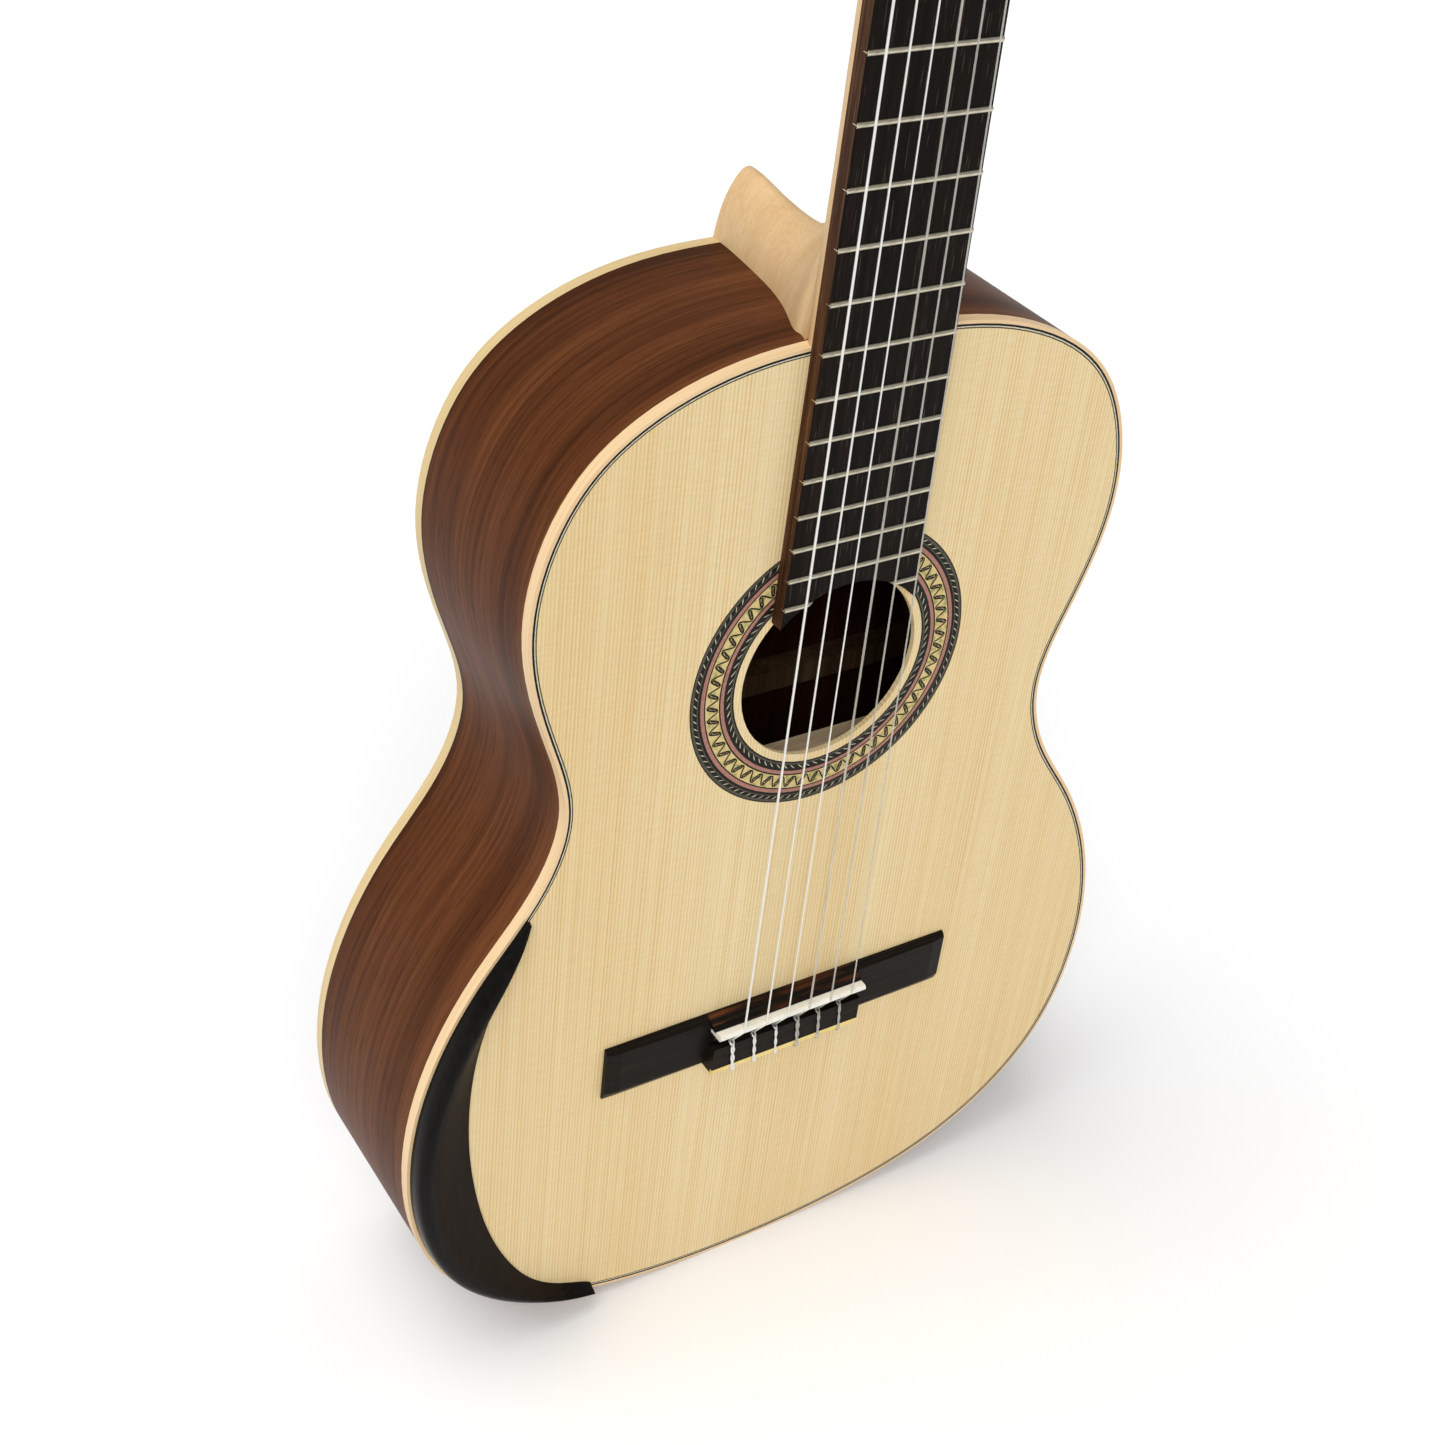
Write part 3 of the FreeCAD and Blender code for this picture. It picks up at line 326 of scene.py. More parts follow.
def maple(name, light, dark, run):
    """Plain pale wood with a soft even figure."""
    look = Look(name, light, 0.45, 0.3)
    figure = look.grain(stretched(run, 2.0, 45.0), bend=0.3)
    lines = look.grain(stretched(run, 14.0, 700.0), (2.0, 4.0, 6.0), roughness=0.6)
    colour = look.ramp(figure, [(0.36, dark), (0.62, light)])
    line_tone = look.ramp(lines, [(0.36, (248, 243, 236)), (0.58, WHITE)])
    look.set("Base Color", look.tinted(colour, line_tone))
    look.set("Roughness", look.between(lines, 0.38, 0.48))
    look.bump(lines, 0.01, 0.4)
    return look.material


# ------------------------------------------------------------- stained woods
def fingerboard_look():
    """Blackened face over a brown wood that still shows on the edges."""
    look = Look("fingerboard", (30, 26, 23), 0.5, 0.07)
    sideways, _, _ = look.facing()
    face = look.ramp(look.math("ABSOLUTE", sideways), [(0.5, 1.0), (0.75, 0.0)])
    grain = look.grain((520.0, 520.0, 7.0), detail=3.0, roughness=0.7)
    broad = look.grain((60.0, 60.0, 3.0))
    pores = look.grain((1700.0, 1700.0, 60.0), detail=1.0)
    black = look.ramp(grain, [(0.3, (11, 9, 7)), (0.55, (21, 16, 12)), (0.72, (37, 28, 22))])
    black = look.tinted(black, look.ramp(broad, [(0.45, WHITE), (0.72, (255, 214, 190))]))
    brown = look.ramp(grain, [(0.32, (36, 20, 11)), (0.52, (74, 46, 27)), (0.7, (104, 72, 46))])
    dots = look.ramp(pores, [(0.29, (86, 78, 68)), (0.33, (0, 0, 0))])
    look.set("Base Color", look.mix(0.5, look.mix(face, brown, black), dots, "ADD"))
    look.set("Roughness", look.between(grain, 0.38, 0.58))
    look.bump(look.ramp(pores, [(0.29, 0.0), (0.35, 1.0)]), 0.04, 0.5)
    return look.material


BRIDGE_BLOCK_HALF = 40 * MM  # the wings start this far from the middle


def bridge_look():
    """Nearly black bridge wood, bare red-brown on the slope in front of the saddle."""
    look = Look("bridge_wood", (34, 29, 25), 0.42, 0.07)
    x, _, z = look.parts()
    _, _, forwards = look.facing()
    grain = look.grain((12.0, 700.0, 700.0), detail=3.0, roughness=0.7)
    patch = look.grain((34.0, 260.0, 260.0), (1.3, 0.0, 0.0), detail=3.0)
    black = look.ramp(grain, [(0.3, (12, 10, 8)), (0.55, (25, 20, 15)), (0.75, (42, 34, 27))])
    red = look.ramp(grain, [(0.3, (34, 18, 10)), (0.5, (84, 46, 26)), (0.72, (132, 76, 44))])
    bare = look.ramp(patch, [(0.50, 0.0), (0.66, 0.75)])
    for limit in (
        look.ramp(forwards, [(0.2, 0.0), (0.45, 1.0)]),
        look.math("GREATER_THAN", z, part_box("saddle")[1].z),
        look.math("LESS_THAN", look.math("ABSOLUTE", x), BRIDGE_BLOCK_HALF),
    ):
        bare = look.math("MULTIPLY", bare, limit)
    look.set("Base Color", look.mix(bare, black, red))
    look.set("Roughness", look.between(grain, 0.26, 0.50))
    look.bump(grain, 0.03, 0.5)
    return look.material


ARMREST_FADES = (0.66, 0.80)  # how far below the origin the brown turns paler


def armrest_look():
    """Black-stained wood: polished on the outer roll, satin brown on the slope."""
    look = Look("armrest_wood", (40, 31, 24), 0.42, 0.09)
    _, _, z = look.parts()
    sideways, _, upwards = look.facing()
    inward = look.math("SUBTRACT", sideways, look.math("MULTIPLY", upwards, 0.35))
    slope = look.ramp(inward, [(0.10, 0.0), (0.30, 1.0)])
    starts, ends = ARMREST_FADES
    low = look.ramp(look.math("MULTIPLY", z, -1.0), [(starts, 0.0), (ends, 1.0)])
    grain = look.grain((500.0, 500.0, 24.0), detail=3.0, roughness=0.7)
    black = look.ramp(grain, [(0.3, (12, 11, 10)), (0.7, (22, 20, 18))])
    brown = look.ramp(grain, [(0.3, (18, 12, 8)), (0.55, (27, 19, 12)), (0.75, (37, 27, 18))])
    brown = look.tinted(brown, rgb(255, 250, 240))
    brown = look.mix(look.math("MULTIPLY", low, 0.5), brown, rgb(38, 30, 21))
    look.set("Base Color", look.mix(slope, black, brown))
    look.set("Roughness", look.between(slope, 0.20, 0.48))
    look.set("Specular IOR Level", look.between(slope, 0.07, 0.05))
    look.bump(grain, 0.015, 0.4)
    return look.material


# ------------------------------------------------- metal, bone, string, inlay
def metal(name, colour, roughness, brush=(900.0, 900.0, 900.0)):
    look = Look(name, colour, roughness, metallic=1.0)
    scratches = look.grain(brush, detail=3.0, roughness=0.6)
    tarnish = look.ramp(look.grain((60.0, 60.0, 60.0)), [(0.3, 0.9), (0.65, 1.0)])
    look.set("Base Color", look.tinted(rgb(*colour), tarnish))
    look.set("Roughness", look.between(scratches, roughness - 0.08, roughness + 0.08))
    look.bump(scratches, 0.01, 0.4)
    return look.material


def moulded(name, colour, shade, roughness, cloud=120.0, sheen=0.0):
    """A dense smooth material such as bone, pearl or plastic."""
    look = Look(name, colour, roughness)
    look.set("Coat Weight", sheen)
    drift = look.grain((cloud, cloud, cloud), detail=3.0, roughness=0.55, bend=0.6)
    speck = look.grain((1600.0, 1600.0, 1600.0), detail=1.0)
    look.set("Base Color", look.ramp(drift, [(0.34, shade), (0.6, colour)]))
    look.set("Roughness", look.between(speck, roughness - 0.04, roughness + 0.04))
    look.bump(speck, 0.008, 0.3)
    return look.material


def nylon_look():
    look = Look("clear_nylon", (214, 211, 202), 0.2, 0.6)
    streaks = look.grain((900.0, 900.0, 40.0))
    look.set("Base Color", look.ramp(streaks, [(0.3, (196, 192, 182)), (0.7, (226, 223, 214))]))
    look.set("Transmission Weight", 0.25)
    look.set("IOR", 1.4)
    look.set("Alpha", 0.6)
    return look.material


def winding_look(name, axis):
    """Silvered wire wound round a core, as fine rings along an axis."""
    look = Look(name, (236, 234, 228), 0.3, metallic=0.55)
    coil = look.node("ShaderNodeTexWave", bands_direction=axis)
    look.feed(coil.inputs["Vector"], look.place())
    coil.inputs["Scale"].default_value = 950.0
    rings = coil.outputs["Fac"]
    look.set("Base Color", look.ramp(rings, [(0.0, (206, 204, 198)), (0.6, (246, 245, 241))]))
    look.bump(rings, 0.03, 0.5)
    return look.material


def inlay(name, colour, shade):
    """Dyed veneer with a fine even grain."""
    look = Look(name, colour, 0.38, 0.12)
    grain = look.grain((700.0, 700.0, 700.0))
    look.set("Base Color", look.ramp(grain, [(0.3, shade), (0.62, colour)]))
    look.set("Roughness", look.between(grain, 0.32, 0.44))
    look.bump(grain, 0.01, 0.4)
    return look.material


def straw_inlay():
    """Straw-coloured veneer with green patches."""
    look = Look("inlay_straw", (206, 184, 128), 0.4, 0.15)
    patch = look.grain((330.0, 330.0, 330.0), detail=1.0)
    grain = look.grain((1500.0, 1500.0, 1500.0), detail=1.0)
    greens = [(0.32, (150, 150, 92)), (0.42, (190, 174, 114)), (0.56, (214, 190, 130))]
    look.set("Base Color", look.ramp(patch, greens))
    look.bump(grain, 0.01, 0.4)
    return look.material


# --------------------------------------------------------------- mesh making
def piece(name, points, faces, look, body, slot, smooth=True):
    mesh = bpy.data.meshes.new(name)
    mesh.from_pydata([tuple(p) for p in points], [], faces)
    mesh.validate()
    mesh.polygons.foreach_set("use_smooth", [smooth] * len(mesh.polygons))
    mesh.materials.append(look)
    thing = bpy.data.objects.new(name, mesh)
    bpy.context.scene.collection.objects.link(thing)
    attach(thing, body)
    return thing


def middle_height(node):
    low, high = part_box(node)
    return (low.z + high.z) / 2


def closed_band(rails):
    """A closed strip with a four-cornered section. Each rail is the loop of one corner,
    and the rails come in the order that turns the faces outwards."""
    count = len(rails[0])
    points = [rail[i] for i in range(count) for rail in rails]
    faces = []
    for i in range(count):
        j = (i + 1) % count
        for k in range(4):
            m = (k + 1) % 4
            faces.append((4 * i + k, 4 * i + m, 4 * j + m, 4 * j + k))
    return points, faces


def ribbon_faces(first, pairs):
    """Faces between pairs of points that lie either side of a line."""
    starts = range(first, first + 2 * (pairs - 1), 2)
    return [(a, a + 1, a + 3, a + 2) for a in starts]


def tube(path, radius, sides=12):
    """Points and faces of a round closed tube along a path."""
    points, faces = [], []
    normal = (path[1] - path[0]).orthogonal().normalized()
    for i, at in enumerate(path):
        ahead = (path[min(i + 1, len(path) - 1)] - path[max(i - 1, 0)]).normalized()
        normal = (normal - ahead * normal.dot(ahead)).normalized()
        binormal = ahead.cross(normal)
        for s in range(sides):
            a = TURN * s / sides
            points.append(at + (normal * math.cos(a) + binormal * math.sin(a)) * radius)
    last = (len(path) - 1) * sides
    for low in range(0, last, sides):
        high = low + sides
        for s in range(sides):
            t = (s + 1) % sides
            faces.append((low + s, low + t, high + t, high + s))
    faces.append(tuple(reversed(range(sides))))
    faces.append(tuple(range(last, last + sides)))
    return points, faces


def smooth_line(points, steps):
    """A Catmull-Rom curve through the points."""
    points = [Vector(p) for p in points]
    ends = [points[0] * 2 - points[1]] + points + [points[-1] * 2 - points[-2]]
    line = []
    for i in range(1, len(ends) - 2):
        a, b, c, d = ends[i - 1:i + 3]
        for k in range(steps):
            t = k / steps
            line.append(0.5 * ((2 * b) + (c - a) * t + (2 * a - 5 * b + 4 * c - d) * t * t
                               + (3 * b - a - 3 * c + d) * t ** 3))
    line.append(points[-1])
    return line


def bent_line(corners, reaches, steps=8):
    """Straight runs, with a soft bend of its own reach at each inner corner."""
    line = [corners[0]]
    for before, corner, after, reach in zip(corners, corners[1:], corners[2:], reaches):
        back = (before - corner).normalized() * reach
        ahead = (after - corner).normalized() * reach
        for k in range(steps + 1):
            t = k / steps
            line.append(corner + back * (1 - t) ** 2 + ahead * t * t)
    line.append(corners[-1])
    return line


# ------------------------------------------------------------------ rosette
HOLE_CENTRE = Vector((0.0, 0.0, middle_height("rosette")))
ROSETTE_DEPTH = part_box("rosette")[1].y
RING_STEPS = 240
PROUD = 0.02 * MM  # inlaid patterns sit this far proud of their ground
# Name, outer and inner radius in millimetres, and look, from outside inwards
RINGS = [
    ("rosette_edge_outer", 66.5, 66.0, "black"),
    ("rosette_grey_outer", 66.0, 64.9, "grey"),
    ("rosette_rope_ground_outer", 64.9, 63.1, "black"),
    ("rosette_olive_outer", 63.1, 62.7, "grey"),
    ("rosette_black_outer", 62.7, 61.5, "black"),
    ("rosette_pink_outer", 61.5, 59.8, "pink"),
    ("rosette_line_outer", 59.8, 59.2, "black"),
    ("rosette_band", 59.2, 52.9, "straw"),
    ("rosette_line_inner", 52.9, 52.2, "black"),
    ("rosette_pink_inner", 52.2, 50.6, "pink"),
    ("rosette_black_inner", 50.6, 49.4, "black"),
    ("rosette_rope_ground_inner", 49.4, 47.5, "black"),
    ("rosette_grey_inner", 47.5, 46.7, "grey"),
    ("rosette_edge_inner", 46.7, 46.0, "black"),
]
# Name, outer and inner radius, number of strands, how far each one leans and its half width
ROPES = [
    ("rosette_rope_outer", 64.85, 63.15, 106, -2.0, 0.30),
    ("rosette_rope_inner", 49.35, 47.6, 78, 2.7, 0.36),
]
ROPE_ROWS = 6  # a strand's faces along its length
UNEVEN_BEAT = 2.4  # radians, so that no two neighbours differ alike
UNEVEN_WIDTH = 0.15  # how much strands differ, as a share of their width
UNEVEN_LEAN = 0.04  # and of their lean
SCROLLS = 55
SCROLL_MIDDLE = 56.0  # the scroll band's middle radius in millimetres
SCROLL_REACH = 2.45  # from there to a scroll's crest
SCROLL_STEPS = 4  # along each scroll line, between the points below
INK_SPREAD = 1.6  # millimetres of line for each 1 of half width below
# One scroll is two flanks that curl, with a heart between them: place along it and
# across it, then the line's half width
FLANK_OUT = [
    (0.00, -0.80, 0.22), (0.13, -0.04, 0.23), (0.27, 0.70, 0.22), (0.37, 0.97, 0.20),
    (0.50, 0.88, 0.21), (0.60, 0.50, 0.22), (0.70, 0.05, 0.22), (0.78, -0.32, 0.22),
    (0.84, -0.60, 0.20), (0.79, -0.76, 0.17), (0.71, -0.62, 0.14),
]
FLANK_IN = [
    (0.51, 0.56, 0.14), (0.43, 0.68, 0.17), (0.38, 0.45, 0.20), (0.47, 0.05, 0.22),
    (0.57, -0.40, 0.22), (0.67, -0.80, 0.22), (0.80, -1.00, 0.21), (0.92, -0.95, 0.22),
    (1.00, -0.80, 0.22),
]
HEART = [(0.46, 0.42, 0.08), (0.55, 0.12, 0.16), (0.66, -0.30, 0.16), (0.75, -0.58, 0.08)]


def round_hole(radius, angle, y):
    """A point at a radius from the sound hole's centre."""
    return HOLE_CENTRE + Vector((radius * math.sin(angle), y, radius * math.cos(angle)))


def ring_mesh(outer, inner):
    corners = [(outer, ROSETTE_DEPTH), (outer, 0.0), (inner, 0.0), (inner, ROSETTE_DEPTH)]
    angles = [TURN * i / RING_STEPS for i in range(RING_STEPS)]
    return closed_band([[round_hole(radius * MM, a, y) for a in angles] for radius, y in corners])


def rope_mesh(outer, inner, count, lean, width):
    """Slanting white strands on a black ground, a little uneven like cut veneer."""
    points, faces = [], []
    middle_radius = (outer + inner) / 2
    for i in range(count):
        uneven = math.sin(i * UNEVEN_BEAT)
        faces += ribbon_faces(len(points), ROPE_ROWS + 1)
        for k in range(ROPE_ROWS + 1):
            share = k / ROPE_ROWS
            radius = (inner + (outer - inner) * share) * MM
            # A strand is widest a little nearer its outer end
            swell = math.sin(math.pi * (0.08 + 0.84 * (1 - share) ** 0.8))
            half = width * (1 + UNEVEN_WIDTH * uneven) * swell / middle_radius
            middle = -TURN * i / count - lean * (share - 0.5 + UNEVEN_LEAN * uneven) / middle_radius
            points.append(round_hole(radius, middle - half, -PROUD))
            points.append(round_hole(radius, middle + half, -PROUD))
    return points, faces


def scroll_mesh(strokes, proud):
    """The same strokes in every scroll, all round the middle band."""
    points, faces = [], []
    step = TURN / SCROLLS
    arc = step * SCROLL_MIDDLE
    lines = [smooth_line(stroke, SCROLL_STEPS) for stroke in strokes]
    for i in range(SCROLLS):
        for line in lines:
            faces += ribbon_faces(len(points), len(line))
            for k, at in enumerate(line):
                run = line[min(k + 1, len(line) - 1)] - line[max(k - 1, 0)]
                along, across = run.x * arc, run.y * SCROLL_REACH
                length = math.hypot(along, across)
                for side in (-1, 1):
                    shift = side * at.z * INK_SPREAD
                    u = at.x * arc - shift * across / length
                    v = at.y * SCROLL_REACH + shift * along / length
                    angle = -i * step - u / SCROLL_MIDDLE
                    points.append(round_hole((SCROLL_MIDDLE + v) * MM, angle, -proud))
    return points, faces


def make_rosette(inks):
    def lay(name, mesh, look):
        return piece(name, *mesh, look, "guitar", "rosette_inlay", False)

    rings = [lay(name, ring_mesh(outer, inner), inks[look]) for name, outer, inner, look in RINGS]
    for name, *shape in ROPES:
        lay(name, rope_mesh(*shape), inks["white"])
    lay("rosette_scrolls", scroll_mesh([FLANK_OUT, FLANK_IN], 2 * PROUD), inks["ink"])
    lay("rosette_scroll_hearts", scroll_mesh([HEART], PROUD), inks["mauve"])
    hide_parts("rosette")


# ----------------------------------------------------------------- purfling
# Name, width in millimetres and look, from the binding inwards
PURFLING_LINES = [
    ("purfling_outer", 0.90, "blue_black"),
    ("purfling_middle", 0.48, "white"),
    ("purfling_inner", 0.52, "olive"),
]
FRONT_NORMAL = -0.99  # a front face's normal has a smaller Y than this
FRONT_DEPTH = 0.02 * MM  # and the face itself lies no deeper than this


def outer_edge(node):
    """The outline of a node's front face, anticlockwise as X and Z show it."""
    mesh = nodes[node].data
    spots, edges = {}, set()
    for face in mesh.polygons:
        if face.normal.y > FRONT_NORMAL or face.center.y > FRONT_DEPTH:
            continue
        keys = []
        for i in face.vertices:
            at = mesh.vertices[i].co
            key = (round(at.x / MM, 2), round(at.z / MM, 2))
            spots[key] = Vector((at.x, 0.0, at.z))
            keys.append(key)
        edges.update(zip(keys, keys[1:] + keys[:1]))
    ahead = {a: b for a, b in edges if (b, a) not in edges}
    first = max(ahead)
    run, at = [first], ahead[first]
    while at != first:
        run.append(at)
        at = ahead[at]
    outline = [spots[key] for key in run]
    area = sum(a.x * b.z - b.x * a.z for a, b in zip(outline, outline[1:] + outline[:1]))
    return outline[::-1] if area < 0 else outline


def moved_inwards(outline, distance, y):
    """The outline, a distance nearer the middle of the body."""
    moved = []
    for i, at in enumerate(outline):
        run = (outline[(i + 1) % len(outline)] - outline[i - 1]).normalized()
        moved.append(at + Vector((-run.z, 0.0, run.x)) * distance + Vector((0.0, y, 0.0)))
    return moved


def make_purfling(inks):
    outline = outer_edge("top_purfling")
    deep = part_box("top_purfling")[1].y
    near = 0.0
    for name, width, look in PURFLING_LINES:
        far = near + width
        corners = [(far, deep), (far, 0.0), (near, 0.0), (near, deep)]
        mesh = closed_band([moved_inwards(outline, distance * MM, y) for distance, y in corners])
        piece(name, *mesh, inks[look], "guitar", "purfling", False)
        near = far
    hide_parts("top_purfling")


# ------------------------------------------------------------------ strings
STRING_DIAMETERS = {1: 0.72, 2: 0.82, 3: 1.02, 4: 0.76, 5: 0.90, 6: 1.10}  # in millimetres
PLAIN_STRINGS = 3  # the first three are plain, and the rest are wound with wire
STRING_LEVEL = 7 * MM  # a string crosses the nut and the saddle higher than this
CROSSING_REACH = 2.6 * MM  # string this near a crossing counts as there
ROLLER_END_REACH = 0.8 * MM  # and this near its top, as its end
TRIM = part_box("tie_block_trim")
BLOCK_TOP = -TRIM[0].y
BLOCK_REAR = TRIM[0].z
BLOCK_DEPTH = 15.0 * MM
HOLE_HEIGHT = 6.4 * MM
HOLE_SHIFT = 3.4 * MM  # each hole lies this far to the bass side of its string
LOOP_HEIGHT = 8.4 * MM  # the wrap holds its string up to here in front of the block
LOOP_SHIFT = 0.4 * MM  # from the hole's mouth, towards the treble side
LOOP_AHEAD = 1.5 * MM  # and towards the saddle
TWIST_HALF_TURNS = 2.5  # of the pair of strands on top of the block
TWIST_STEPS = 16
TIE_STEPS = 5  # along the tie, between the points of its path
TIE_SIDES = 10  # of the tie's and the winding's section
BENDS = [0.7 * MM, 2.5 * MM, 6.0 * MM]  # reach of the bend at the loop, saddle and nut
ROLLER_TURNS = 4
TURN_STEPS = 28
TURN_PITCH = 2.25  # from one turn to the next, in string radii
CUT_END_STEPS = 5
CUT_END_STEP = 0.9 * MM
CUT_END_CURL = 0.16 * MM


def crossing(number, node):
    """Where a string passes over the nut or the saddle."""
    z = middle_height(node)
    near = [v.co for v in nodes[f"string_{number}"].data.vertices
            if abs(v.co.z - z) < CROSSING_REACH and v.co.y < -STRING_LEVEL]
    return sum(near, Vector()) / len(near)


def roller_end(number):
    """Where a string meets its roller."""
    places = [v.co for v in nodes[f"string_{number}"].data.vertices]
    top = max(at.z for at in places)
    ends = [at for at in places if at.z > top - ROLLER_END_REACH]
    return sum(ends, Vector()) / len(ends)


def tie_path(r, x):
    """The way of a string of radius r into its hole at x, out behind the tie block,
    and back over the block's top, twisted round itself."""
    front, rear = BLOCK_REAR + BLOCK_DEPTH, BLOCK_REAR
    front_x, rear_x = x - 0.4 * MM, x + 0.9 * MM
    ride = BLOCK_TOP + 1.45 * r

    def at(across, height, along):
        return Vector((across, -height, along))

    def twist(share, phase):
        """A strand of the twisted pair, from the rear edge (0) to the front (1)."""
        angle = TWIST_HALF_TURNS * math.pi * share + phase
        return at(
            rear_x + (front_x - rear_x) * share + 1.05 * r * math.cos(angle),
            ride + 0.6 * r * math.sin(angle),
            rear + 0.9 * MM + (front - rear - 1.1 * MM) * share,
        )

    shares = [i / TWIST_STEPS for i in range(TWIST_STEPS + 1)]
    hole = [
        at(x, HOLE_HEIGHT + 0.3 * MM, front + 0.1 * MM),
        at(x, HOLE_HEIGHT, rear + 2.0 * MM),
        at(x, HOLE_HEIGHT, rear - 0.5 * MM),
        at(x + 0.2 * MM, HOLE_HEIGHT + 0.9 * MM, rear - r - 0.8 * MM),
        at(rear_x - 0.8 * r, BLOCK_TOP - 0.6 * MM, rear - r - 0.5 * MM),
        at(rear_x - 0.8 * r, BLOCK_TOP + 1.1 * r, rear + 0.1 * MM),
    ]
    out = [twist(share, math.pi) for share in shares]
    knot = [
        at(front_x - 1.2 * r, BLOCK_TOP - 0.5 * MM, front + 1.4 * r),
        at(front_x - 0.4 * r, HOLE_HEIGHT + 1.3 * MM, front + 1.9 * r),
        at(x + 1.5 * r, HOLE_HEIGHT + 0.9 * MM, front + 1.9 * r),
        at(x + 1.9 * r, HOLE_HEIGHT + 2.1 * MM, front + 1.7 * r),
        at(front_x + 1.2 * r, BLOCK_TOP + 0.4 * r, front + 1.1 * r),
    ]
    back = [twist(share, 0.0) for share in reversed(shares)]
    tail = [
        at(rear_x + 1.0 * r, BLOCK_TOP + 1.3 * r, rear - 0.5 * MM),
        at(rear_x + 1.0 * r, BLOCK_TOP + 0.1 * r, rear - 1.5 * MM),
        at(rear_x + 0.6 * r, BLOCK_TOP - 1.4 * MM, rear - 2.3 * MM),
    ]
    return hole + out + knot + back + tail


def roller_winding(number, end, radius):
    """Turns of string round its roller, each nearer the head's middle than the last,
    and the cut end standing clear."""
    joint = next(j for j in frame["joints"] if j["name"] == f"roller_turn_{number}")
    centre = Vector(joint["pos_m"])
    arm = Vector((0.0, end.y - centre.y, end.z - centre.z))
    reach = arm.length
    start = math.atan2(arm.z, arm.y)
    pitch = math.copysign(radius * TURN_PITCH, end.x)
    path = []
    for i in range(ROLLER_TURNS * TURN_STEPS + 1):
        turns = i / TURN_STEPS
        angle = start - TURN * turns
        path.append(Vector((
            end.x - pitch * turns,
            centre.y + reach * math.cos(angle),
            centre.z + reach * math.sin(angle),
        )))
    last = path[-1]
    out = Vector((0.0, last.y - centre.y, last.z - centre.z)).normalized()
    along = Vector((0.0, out.z, -out.y))
    for k in range(1, CUT_END_STEPS + 1):
        path.append(last + along * (k * CUT_END_STEP) + out * (k * k * CUT_END_CURL))
    return path


def make_string(number, nylon):
    wound = number > PLAIN_STRINGS
    slot = "wound_silver" if wound else "clear_nylon"
    look = winding_look(f"winding_{number}", "Z") if wound else nylon
    coil_look = winding_look(f"coil_{number}", "X") if wound else nylon
    radius = STRING_DIAMETERS[number] / 2 * MM
    saddle, nut, end = crossing(number, "saddle"), crossing(number, "nut"), roller_end(number)

    tie = tie_path(radius, saddle.x - HOLE_SHIFT)
    mouth = tie[0]
    loop = Vector((mouth.x + LOOP_SHIFT, -LOOP_HEIGHT, mouth.z + LOOP_AHEAD))
    length = bent_line([mouth, loop, saddle, nut, end], BENDS)
    strand = piece(f"string_{number}_strand", *tube(length, radius), look, "guitar", slot)
    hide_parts(f"string_{number}")
    knot = tube(smooth_line(tie, TIE_STEPS), radius, TIE_SIDES)
    piece(f"string_{number}_tie", *knot, look, "guitar", slot)
    coil = tube(roller_winding(number, end, radius), radius, TIE_SIDES)
    piece(f"string_{number}_winding", *coil, coil_look, f"string_roller_{number}", slot)


# ---------------------------------------------------------------------- make
make_camera()
make_studio()

ROSEWOOD = ((63, 33, 15), (86, 47, 23), (104, 61, 33))
CEDAR = ((58, 42, 26), (78, 58, 38), (96, 74, 50))
BARE_SPRUCE = ((150, 128, 100), (180, 158, 128), (204, 184, 154))
side_wood = grained("rib_wood", ROSEWOOD, "XZ", 60.0, 420.0, 0.4, specular=0.05)
# The back's inner faces are darkened here as painted shade
back_wood = grained("back_wood", ROSEWOOD, "Z", 60.0, 420.0, 0.4, painted_inner_shade=0.3)
cedar = grained("inner_cedar", CEDAR, "Z", 60.0, 400.0, 0.2, 0.6)
inner_spruce = grained("inner_spruce", BARE_SPRUCE, "X", 60.0, 500.0, 0.15, 0.6)
binding = maple("binding_maple", (231, 200, 156), (225, 191, 144), "XZ")
# The back binding is the same maple as the top's, painted a little darker as shade
back_maple_painted_shade = maple("back_binding_maple_painted_shade", (215, 192, 144), (209, 184, 133), "XZ")
neck_wood = maple("neck_maple", (220, 187, 140), (210, 174, 127), "Z")
bone = moulded("bone", (240, 238, 228), (228, 224, 210), 0.32)
plated = metal("plated_brass", (226, 194, 132), 0.22)
steel = metal("gear_steel", (190, 186, 176), 0.28)
bronze = metal("gear_bronze", (196, 156, 92), 0.32)
fret_wire = metal("fret_wire", (214, 206, 184), 0.3, (40.0, 900.0, 900.0))
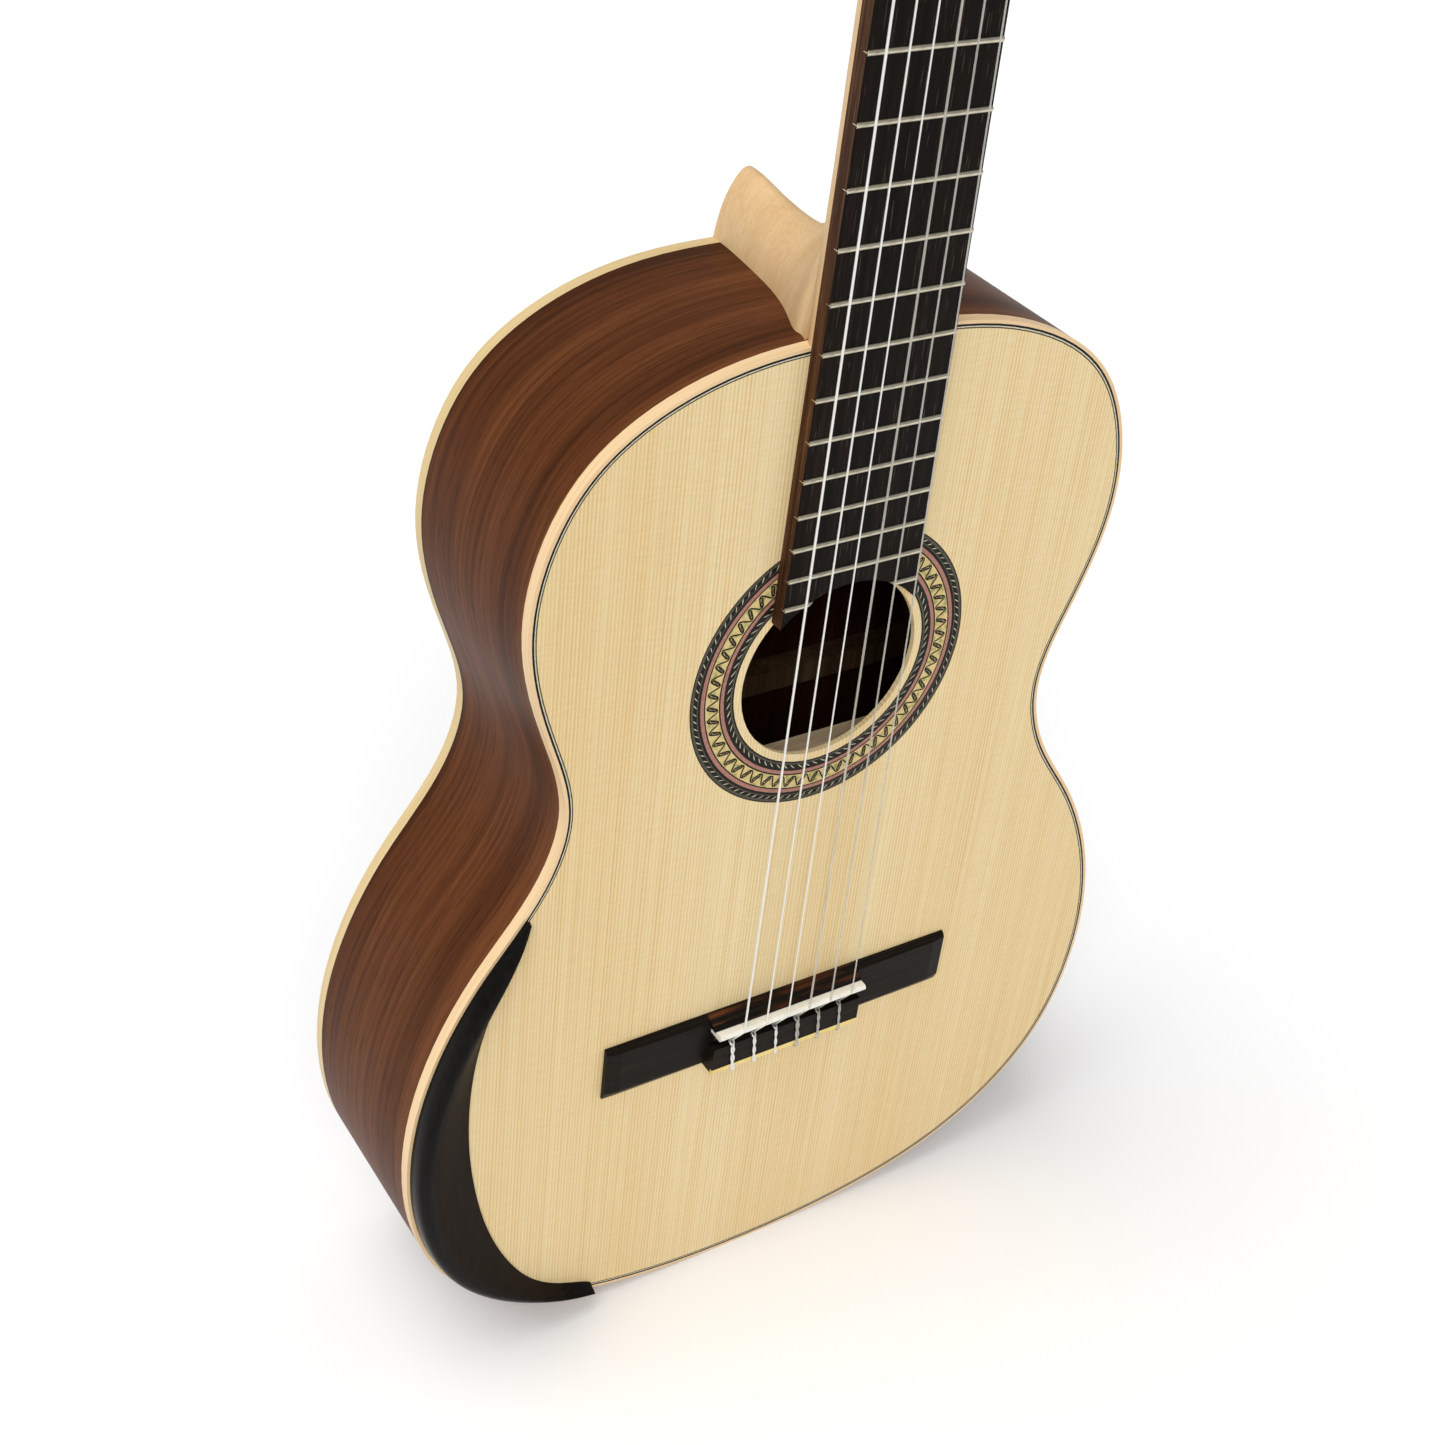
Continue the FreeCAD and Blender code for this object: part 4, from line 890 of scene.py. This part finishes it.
pearl = moulded("pearl", (232, 224, 204), (206, 196, 172), 0.16, 260.0, 0.5)
white_plastic = moulded("roller_plastic", (226, 222, 210), (214, 208, 192), 0.28)
ivory = moulded("ivory_strip", (238, 214, 136), (226, 198, 112), 0.35)
nylon = nylon_look()

looks = {
    "soundboard": spruce(), "rosette": binding, "top_purfling": binding, "top_binding": binding,
    "back": back_wood, "back_binding": back_maple_painted_shade, "bass_side": side_wood, "treble_side": side_wood,
    "neck_block": cedar, "tail_block": cedar, "linings": cedar, "harmonic_bars": inner_spruce,
    "fan_braces": inner_spruce, "back_braces": cedar, "back_centre_strip": inner_spruce,
    "neck": neck_wood, "heel_cap": neck_wood, "fingerboard": fingerboard_look(), "frets": fret_wire,
    "nut": bone, "bridge": bridge_look(), "tie_block_trim": ivory, "saddle": bone,
    "armrest": armrest_look(), "headstock": neck_wood, "head_veneer": back_wood,
    "bass_tuner_plate": plated, "treble_tuner_plate": plated, "worm_brackets": plated,
    "tuner_screws": plated,
}
for number in STRING_DIAMETERS:
    looks[f"string_{number}"] = nylon
    looks[f"roller_{number}"] = white_plastic
    looks[f"gear_{number}"] = bronze
    looks[f"worm_{number}"] = steel
    looks[f"button_{number}"] = pearl
for name, look in looks.items():
    slots = nodes[name].data.materials
    slots.clear()
    slots.append(look)

inks = {
    "black": inlay("inlay_black", (30, 27, 20), (18, 16, 12)),
    "ink": inlay("inlay_ink", (34, 27, 17), (24, 19, 12)),
    "blue_black": inlay("inlay_blue_black", (16, 21, 28), (11, 14, 19)),
    "grey": inlay("inlay_grey", (84, 80, 68), (66, 62, 50)),
    "olive": inlay("inlay_olive", (74, 70, 54), (58, 54, 40)),
    "pink": inlay("inlay_pink", (172, 124, 110), (154, 104, 92)),
    "mauve": inlay("inlay_mauve", (96, 80, 68), (80, 66, 56)),
    "straw": straw_inlay(),
    "white": inlay("inlay_white", (214, 206, 180), (186, 178, 150)),
}
make_rosette(inks)
make_purfling(inks)
for number in STRING_DIAMETERS:
    make_string(number, nylon)
